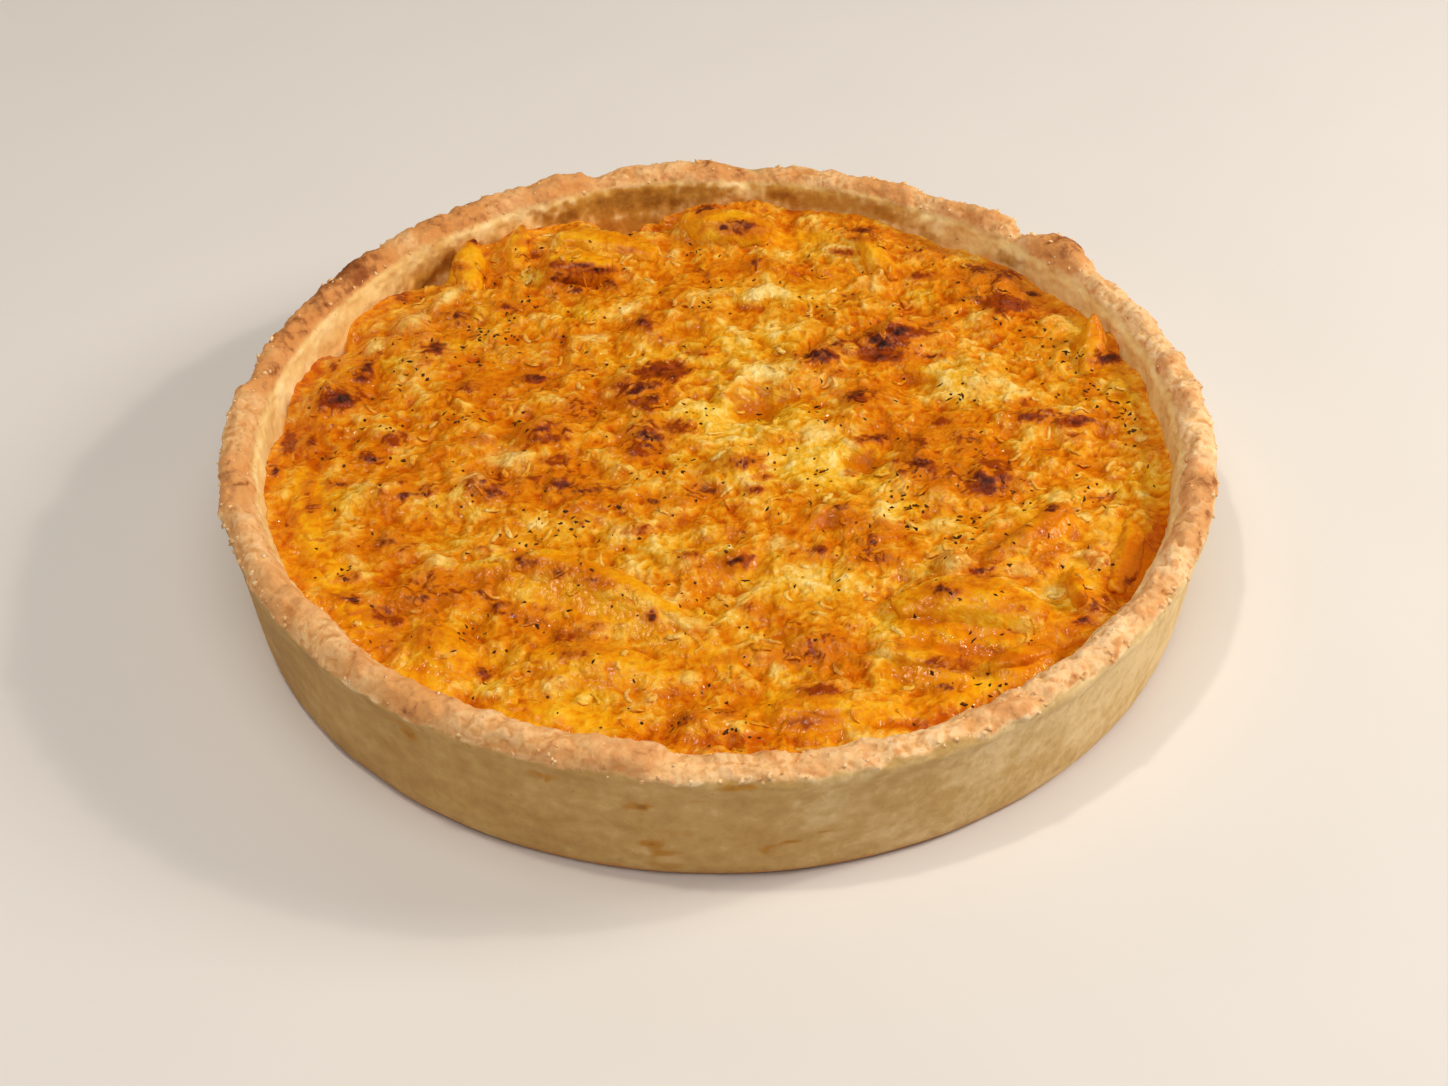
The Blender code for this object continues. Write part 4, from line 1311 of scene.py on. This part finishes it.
def make_shreds(tree):
    """Shreds of cheese and onion, melted and browned on the top."""
    draw = np.random.default_rng(SEED + 1)
    parts = []
    tints = []
    while len(parts) < SHREDS:
        angle = draw.uniform(0, 2 * math.pi)
        radius = SHRED_REACH * math.sqrt(draw.uniform(0, 1))
        x, y = radius * math.cos(angle), radius * math.sin(angle)
        made = strip(
            (x, y),
            draw.uniform(0, 2 * math.pi),
            draw.uniform(2.8, 6.5),
            draw.uniform(0.9, 1.9),
            draw.uniform(0.35, 0.6),
            draw.uniform(-2.6, 2.6),
            tree,
            draw.uniform(-0.08, 0.22),
            draw,
        )
        if made is None:
            continue
        parts.append(made)
        tints.append(draw.uniform(0, 1))
    points, faces = joined(parts)
    piece = make_object("melted_shreds", points, faces)
    tint = np.repeat(tints, len(parts[0][0]))
    masks = top_masks(points, 0.5 + 0 * tint, 0.3 * (tint - 0.2), 0 * tint)
    masks["toast"] = masks["toast"] * (0.7 + 0.5 * tint)
    masks["pale"] = np.maximum(masks["pale"], 0.35 * smooth_step(0.4, 0.9, tint))
    masks["flesh"] *= 0.5
    keep_masks(piece, masks)
    return piece


def make_herbs(tree):
    """Dark flecks of dried herb, in clusters and loose over the top."""
    draw = np.random.default_rng(SEED + 2)
    places = []
    for x, y, spread, count in HERB_CLUSTERS:
        for _ in range(count):
            places.append((x + draw.normal(0, spread * 0.6), y + draw.normal(0, spread * 0.6)))
    for _ in range(LOOSE_HERBS):
        angle = draw.uniform(0, 2 * math.pi)
        radius = HERB_REACH * math.sqrt(draw.uniform(0, 1))
        places.append((radius * math.cos(angle), radius * math.sin(angle)))
    parts = []
    for x, y in places:
        ground, normal = seen_on_top(tree, x, y)
        if ground is None or math.hypot(ground.x, ground.y) > FURTHEST_HERB:
            continue
        length = draw.uniform(0.5, 1.5) * (1.6 if draw.uniform(0, 1) < 0.12 else 1)
        width = draw.uniform(0.22, 0.5)
        turn = draw.uniform(0, math.pi)
        heading = Vector((math.cos(turn), math.sin(turn), 0))
        heading = (heading - normal * heading.dot(normal)).normalized()
        across = normal.cross(heading)
        bend = draw.uniform(-0.25, 0.25) * length
        spine = []
        for share in (-0.5, 0.0, 0.5):
            middle = ground + heading * (share * length) + across * (bend * (1 - 4 * share**2))
            spine.append(middle + normal * 0.04)
        points = []
        for middle, half in zip(spine, (0.35, 1.0, 0.3)):
            points.append(middle - across * width * half)
            points.append(middle + across * width * half)
            points.append(middle + normal * 0.16 * half + across * draw.uniform(-0.05, 0.05))
        faces = [(0, 2, 1), (6, 7, 8)]
        for low in (0, 3):
            for side_of in range(3):
                after = (side_of + 1) % 3
                faces.append((low + side_of, low + after, low + 3 + after, low + 3 + side_of))
        parts.append((np.array([tuple(point) for point in points]), faces))
    points, faces = joined(parts)
    return make_object("herb_flecks", points, faces)


def make_crumbs(case_tree):
    """Crumbs of pastry baked on along the rim's outer edge and on its top."""
    draw = np.random.default_rng(SEED + 3)
    corners = np.array(
        [(1, 1, 1), (1, -1, -1), (-1, 1, -1), (-1, -1, 1), (0, 0, -1.5), (0, 0, 1.5), (1.4, 0, 0)]
    )
    parts = []
    while len(parts) < CRUMBS:
        angle = draw.uniform(0, 2 * math.pi)
        outward = Vector((math.cos(angle), math.sin(angle), 0))
        on_edge = draw.uniform(0, 1) < 0.62
        turn = draw.normal(0.76, 0.12) if on_edge else draw.uniform(0.8, 2.3)
        way = outward * math.cos(turn) + Vector((0, 0, math.sin(turn)))
        centre = outward * RIM_CENTRE[0] + Vector((0, 0, RIM_CENTRE[1]))
        place, normal = case_tree.ray_cast(centre + way * RIM_RAY, -way)[:2]
        if place is None:
            continue
        size = draw.uniform(0.3, 0.65) if on_edge else draw.uniform(0.2, 0.5)
        spin = Matrix.Rotation(draw.uniform(0, 6.28), 3, Vector(draw.normal(0, 1, 3)).normalized())
        stretched = corners * (size * draw.uniform(0.6, 1.3, 3))
        points = stretched @ np.array(spin).T + np.array(place) - 0.25 * size * np.array(normal)
        parts.append((points, hull_faces(points)))
    points, faces = joined(parts)
    piece = make_object("pastry_crumbs", points, faces)
    pale = noise(points, 6, SEED + 110) * 0.5 + 0.5
    toast = 0.18 * (1 - pale)
    keep_masks(piece, {"toast": toast, "rim": np.ones(len(points)), "tone": 0.5 + 0.18 * pale})
    return piece


def hull_faces(points):
    """The faces of the closed hull round a few points."""
    shape = bmesh.new()
    for place in points:
        shape.verts.new(place)
    shape.verts.index_update()
    bmesh.ops.convex_hull(shape, input=shape.verts)
    faces = [tuple(vertex.index for vertex in face.verts) for face in shape.faces]
    shape.free()
    return faces


def paint(red, green, blue):
    """A colour for a material from its red, green and blue out of 255."""
    parts = []
    for value in (red, green, blue):
        share = value / 255
        parts.append(share / 12.92 if share <= 0.04045 else ((share + 0.055) / 1.055) ** 2.4)
    return (*parts, 1.0)


class Wiring:
    """Adds nodes to one tree and joins their sockets."""

    def __init__(self, tree):
        self.tree = tree

    def feed(self, socket, value):
        if isinstance(value, bpy.types.NodeSocket):
            self.tree.links.new(value, socket)
        else:
            socket.default_value = value

    def add(self, kind, inputs=None, **settings):
        made = self.tree.nodes.new(kind)
        for name, value in settings.items():
            setattr(made, name, value)
        for name, value in (inputs or {}).items():
            self.feed(made.inputs[name], value)
        return made

    def sum(self, operation, first, second, third=None):
        """The result of a maths operation on two or three numbers or sockets."""
        made = self.add("ShaderNodeMath", {0: first, 1: second}, operation=operation)
        if third is not None:
            self.feed(made.inputs[2], third)
        return made.outputs[0]

    def mix(self, share, first, second, blend="MIX"):
        made = self.add("ShaderNodeMix", data_type="RGBA", blend_type=blend)
        self.feed(made.inputs[0], share)
        self.feed(made.inputs[6], first)
        self.feed(made.inputs[7], second)
        return made.outputs[2]

    def between(self, value, low, high, least=0.0, most=1.0):
        """From least at low to most at high, with eased ends."""
        made = self.add("ShaderNodeMapRange", interpolation_type="SMOOTHSTEP")
        for socket, number in enumerate((value, low, high, least, most)):
            self.feed(made.inputs[socket], number)
        return made.outputs[0]

    def noise(self, place, size, detail=2.0, rough=0.5, twist=0.0):
        made = self.add(
            "ShaderNodeTexNoise",
            {
                "Vector": place,
                "Scale": 1 / (size * MM),
                "Detail": detail,
                "Roughness": rough,
                "Distortion": twist,
            },
        )
        return made.outputs[0]

    def cells(self, place, size, feature="F1"):
        made = self.add("ShaderNodeTexVoronoi", feature=feature)
        self.feed(made.inputs["Vector"], place)
        self.feed(made.inputs["Scale"], 1 / (size * MM))
        return made

    def place(self):
        return self.add("ShaderNodeTexCoord").outputs["Object"]

    def mask(self, name):
        return self.add("ShaderNodeAttribute", attribute_name=name).outputs["Fac"]

    def ramp(self, value, tones, colours):
        """The colour for a tone, blended between the listed ones."""
        made = self.add("ShaderNodeValToRGB")
        band = made.color_ramp
        while len(band.elements) < len(tones):
            band.elements.new(0.5)
        for element, position, colour in zip(band.elements, tones, colours):
            element.position = position
            element.color = paint(*colour)
        self.feed(made.inputs[0], value)
        return made.outputs[0]


def new_group(name, inputs, outputs):
    """A shader node group with named inputs and outputs, and its wiring."""
    tree = bpy.data.node_groups.new(name, "ShaderNodeTree")
    for label, kind, value in inputs:
        socket = tree.interface.new_socket(label, in_out="INPUT", socket_type=kind)
        socket.default_value = value
    for label, kind in outputs:
        tree.interface.new_socket(label, in_out="OUTPUT", socket_type=kind)
    wiring = Wiring(tree)
    return tree, wiring, wiring.add("NodeGroupInput"), wiring.add("NodeGroupOutput")


NUMBER = "NodeSocketFloat"
COLOUR = "NodeSocketColor"
VECTOR = "NodeSocketVector"


def browning_group():
    """Turns a colour golden, then brown, then black, as the oven does."""
    tree, wire, given, put = new_group(
        "oven_browning",
        (
            ("Colour", COLOUR, (1, 1, 1, 1)),
            ("Grain", NUMBER, 0.5),
            ("Toast", NUMBER, 0.0),
            ("Char", NUMBER, 0.0),
            ("Golden", COLOUR, paint(208, 112, 10)),
            ("Brown", COLOUR, paint(148, 58, 8)),
        ),
        (("Colour", COLOUR), ("Dryness", NUMBER)),
    )
    grain = wire.sum("SUBTRACT", given.outputs["Grain"], 0.5)
    toast = wire.sum("MULTIPLY_ADD", grain, 0.9, given.outputs["Toast"])
    golden = wire.mix(
        wire.between(toast, 0.12, 0.5, 0.0, 0.85), given.outputs["Colour"], given.outputs["Golden"]
    )
    brown = wire.mix(wire.between(toast, 0.46, 0.95), golden, given.outputs["Brown"])
    dark = wire.mix(wire.between(toast, 0.95, 1.35), brown, paint(98, 34, 8))
    char = wire.sum("MULTIPLY_ADD", grain, 1.5, given.outputs["Char"])
    burnt = wire.mix(wire.between(char, 0.2, 0.85), dark, paint(104, 36, 10))
    black = wire.mix(wire.between(char, 0.7, 1.25), burnt, paint(36, 18, 12))
    wire.feed(put.inputs["Colour"], black)
    wire.feed(put.inputs["Dryness"], wire.between(toast, 0.3, 1.2))
    return tree


def relief_group():
    """Fine relief of crumb or crust: wrinkles and round grains, and a grain that mottles colour."""
    tree, wire, given, put = new_group(
        "fine_relief",
        (("Place", VECTOR, (0, 0, 0)), ("Grains", NUMBER, 1.0), ("Wrinkles", NUMBER, 1.0)),
        (("Height", NUMBER), ("Grain", NUMBER)),
    )
    place = given.outputs["Place"]
    wrinkles = wire.noise(place, 2.0, 2.0, 0.5, 0.5)
    domes = wire.cells(place, 1.5).outputs["Distance"]
    height = wire.sum("MULTIPLY", wrinkles, given.outputs["Wrinkles"])
    height = wire.sum("SUBTRACT", height, wire.sum("MULTIPLY", domes, given.outputs["Grains"]))
    wire.feed(put.inputs["Height"], height)
    wire.feed(put.inputs["Grain"], wrinkles)
    return tree


def material(name):
    """(material, wiring, Principled BSDF) ready for its nodes."""
    made = bpy.data.materials.new(name)
    made.use_nodes = True
    tree = made.node_tree
    tree.nodes.clear()
    wire = Wiring(tree)
    shader = wire.add("ShaderNodeBsdfPrincipled")
    output = wire.add("ShaderNodeOutputMaterial")
    tree.links.new(shader.outputs["BSDF"], output.inputs["Surface"])
    return made, wire, shader


def with_group(wire, tree, inputs):
    made = wire.add("ShaderNodeGroup")
    made.node_tree = tree
    for name, value in inputs.items():
        wire.feed(made.inputs[name], value)
    return made


def top_material(name, groups, least_rough):
    """The browned top: custard and pumpkin differ in how wet they look."""
    made, wire, shader = material(name)
    relief = with_group(
        wire, groups["relief"], {"Place": wire.place(), "Grains": 0.4, "Wrinkles": 1.0}
    )
    grain = relief.outputs["Grain"]
    tone = wire.sum("MULTIPLY_ADD", wire.sum("SUBTRACT", grain, 0.5), 0.5, wire.mask("tone"))
    deep, light, flesh, scrap = (
        wire.ramp(tone, TOP_TONES, TOP_COLOURS[part]) for part in ("deep", "light", "flesh", "pale")
    )
    base = wire.mix(wire.mask("yellow"), deep, light)
    base = wire.mix(wire.mask("flesh"), base, flesh)
    base = wire.mix(wire.sum("MULTIPLY", wire.mask("pale"), 0.8), base, scrap)
    browned = with_group(
        wire,
        groups["browning"],
        {"Colour": base, "Grain": grain, "Toast": wire.mask("toast"), "Char": wire.mask("char")},
    )
    wire.feed(shader.inputs["Base Color"], browned.outputs["Colour"])
    rough = wire.between(wire.mask("tone"), 0.3, 0.7, least_rough, least_rough + 0.1)
    rough = wire.sum("MULTIPLY_ADD", browned.outputs["Dryness"], 0.05, rough)
    rough = wire.sum("MULTIPLY_ADD", wire.mask("flesh"), 0.1, rough)
    rough = wire.sum("MULTIPLY_ADD", wire.mask("char"), 0.3, rough)
    wire.feed(shader.inputs["Roughness"], rough)
    bump = wire.add(
        "ShaderNodeBump",
        {
            "Height": relief.outputs["Height"],
            "Strength": wire.sum("MULTIPLY_ADD", wire.mask("flesh"), -0.5, 1.0),
            "Distance": 0.8 * MM,
        },
    )
    wire.feed(shader.inputs["Normal"], bump.outputs[0])
    shader.inputs["Specular IOR Level"].default_value = 0.4
    return made


def pastry_material(groups):
    """Shortcrust: sandy outer wall, toasted rim, creamy inner wall with caramel stains and painted
    shade.
    """
    made, wire, shader = material("shortcrust")
    relief = with_group(
        wire, groups["relief"], {"Place": wire.place(), "Grains": 0.7, "Wrinkles": 1.0}
    )
    grain = relief.outputs["Grain"]
    mottle = wire.sum("MULTIPLY_ADD", wire.mask("rim"), 0.6, 0.25)
    tone = wire.sum("MULTIPLY", wire.sum("SUBTRACT", grain, 0.5), mottle)
    tone = wire.sum("ADD", tone, wire.mask("tone"))
    wall, crown, inner = (
        wire.ramp(tone, PASTRY_TONES, PASTRY_COLOURS[part]) for part in ("wall", "crown", "inner")
    )
    base = wire.mix(wire.mask("rim"), wall, crown)
    base = wire.mix(wire.mask("inside"), base, inner)
    stain = wire.sum("MULTIPLY_ADD", wire.sum("SUBTRACT", grain, 0.5), 0.5, wire.mask("stain"))
    # Real stains and painted shade both turn the colour caramel, then dark.
    base = wire.mix(wire.between(stain, 0.1, 0.75), base, paint(192, 134, 50))
    base = wire.mix(wire.between(stain, 0.7, 1.15), base, paint(152, 96, 30))
    browned = with_group(
        wire,
        groups["browning"],
        {
            "Colour": base,
            "Grain": grain,
            "Toast": wire.mask("toast"),
            "Golden": paint(212, 140, 72),
            "Brown": paint(150, 86, 40),
        },
    )
    wire.feed(shader.inputs["Base Color"], browned.outputs["Colour"])
    bump = wire.add(
        "ShaderNodeBump",
        {
            "Height": relief.outputs["Height"],
            "Strength": wire.sum("MULTIPLY_ADD", wire.mask("rim"), 0.35, 0.25),
            "Distance": 0.5 * MM,
        },
    )
    wire.feed(shader.inputs["Normal"], bump.outputs[0])
    wire.feed(shader.inputs["Roughness"], wire.between(grain, 0.3, 0.7, 0.62, 0.82))
    shader.inputs["Specular IOR Level"].default_value = 0.35
    return made


def herb_material():
    """Dried herb, dark green to brown."""
    made, wire, shader = material("dried_herb")
    tone = wire.noise(wire.place(), 3.0, 2.0, 0.6)
    wire.feed(shader.inputs["Base Color"], wire.ramp(tone, HERB_TONES, HERB_COLOURS))
    wire.feed(shader.inputs["Roughness"], wire.between(tone, 0.3, 0.7, 0.65, 0.85))
    shader.inputs["Specular IOR Level"].default_value = 0.2
    return made


def dress(piece, finish):
    piece.data.materials.clear()
    piece.data.materials.append(finish)


def make_materials():
    groups = {
        "browning": browning_group(),
        "relief": relief_group(),
    }
    return {
        "custard": top_material("baked_custard_top", groups, 0.12),
        "pumpkin": top_material("roast_pumpkin", groups, 0.18),
        "pastry": pastry_material(groups),
        "herb": herb_material(),
    }


def floor_material():
    made, wire, shader = material("pale_floor")
    tone = wire.noise(wire.place(), 60, 2.0, 0.5)
    colour = wire.mix(tone, paint(222, 216, 210), paint(226, 220, 214))
    wire.feed(shader.inputs["Base Color"], colour)
    shader.inputs["Roughness"].default_value = 0.75
    return made


def make_floor():
    half = 1.6
    mesh = bpy.data.meshes.new("floor")
    mesh.from_pydata(
        [(-half, -half, 0), (half, -half, 0), (half, half, 0), (-half, half, 0)], [], [(0, 1, 2, 3)]
    )
    floor = bpy.data.objects.new("floor", mesh)
    floor.location.z = -0.0002
    bpy.context.scene.collection.objects.link(floor)
    mesh.materials.append(floor_material())


def area_light(name, place, aim, size, power, colour, glints=True):
    lamp = bpy.data.lights.new(name, "AREA")
    lamp.shape = "DISK"
    lamp.size = size
    lamp.energy = power
    lamp.color = colour
    light = bpy.data.objects.new(name, lamp)
    light.location = place
    light.rotation_euler = (Vector(aim) - Vector(place)).to_track_quat("-Z", "Y").to_euler()
    light.visible_glossy = glints
    bpy.context.scene.collection.objects.link(light)


def make_lights():
    """Broad lights that glossy surfaces don't mirror, and two small ones that make the glints."""
    aim = (0, 0, 0.02)
    area_light("softbox", (0.0, -0.45, 1.25), aim, 1.1, 7.6, (1.0, 0.97, 0.94), False)
    area_light("window", (1.0, 0.1, 0.62), aim, 0.4, 7.4, (1.0, 0.96, 0.91), False)
    area_light("warm_side", (-0.5, 0.95, 0.62), aim, 0.4, 1.0, (1.0, 0.88, 0.72), False)
    area_light("fill_left", (-1.0, -0.7, 0.4), aim, 0.8, 1.4, (1.0, 0.96, 0.92), False)
    area_light("glint_right", (0.9, 0.1, 0.7), aim, 0.06, 2.2, (1.0, 0.92, 0.76))
    area_light("glint_top", (-0.25, -0.15, 1.1), aim, 0.06, 2.4, (1.0, 0.92, 0.76))
    world = bpy.data.worlds.new("studio")
    world.use_nodes = True
    background = world.node_tree.nodes["Background"]
    background.inputs["Color"].default_value = (0.97, 0.96, 0.95, 1)
    background.inputs["Strength"].default_value = 0.16
    world.cycles_visibility.glossy = False
    bpy.context.scene.world = world


def make_camera():
    """The photo's camera: it looks down at the tart and is rolled a little."""
    lens = bpy.data.cameras.new("camera")
    lens.lens = LENS
    lens.sensor_width = SENSOR
    lens.clip_start = 0.01
    raised = math.radians(ELEVATION)
    rolled = math.radians(ROLL)
    back = Vector((0, -math.cos(raised), math.sin(raised)))
    level = Vector((1, 0, 0))
    upward = back.cross(level)
    across = level * math.cos(rolled) + upward * math.sin(rolled)
    upright = upward * math.cos(rolled) - level * math.sin(rolled)
    camera = bpy.data.objects.new("camera", lens)
    turned = Matrix((across, upright, back)).transposed().to_4x4()
    camera.matrix_world = Matrix.Translation(Vector(EYE) * MM) @ turned
    bpy.context.scene.collection.objects.link(camera)
    bpy.context.scene.camera = camera


def main():
    finishes = make_materials()
    slice_tree = tree_of([node_mesh(name) for name in SLICES])
    custard = make_custard(slice_tree)
    custard_tree = mesh_tree([custard])
    slices = [make_slice(name, custard_tree) for name in SLICES]
    case = make_case()
    top_tree = mesh_tree([custard] + slices)
    shreds = make_shreds(top_tree)
    herbs = make_herbs(mesh_tree([custard, shreds] + slices))
    crumbs = make_crumbs(mesh_tree([case]))
    dress(custard, finishes["custard"])
    dress(shreds, finishes["custard"])
    dress(herbs, finishes["herb"])
    for piece in slices:
        dress(piece, finishes["pumpkin"])
    for piece in (case, crumbs):
        dress(piece, finishes["pastry"])
    make_floor()
    make_lights()
    make_camera()
    bpy.context.scene.view_settings.view_transform = "Standard"


main()
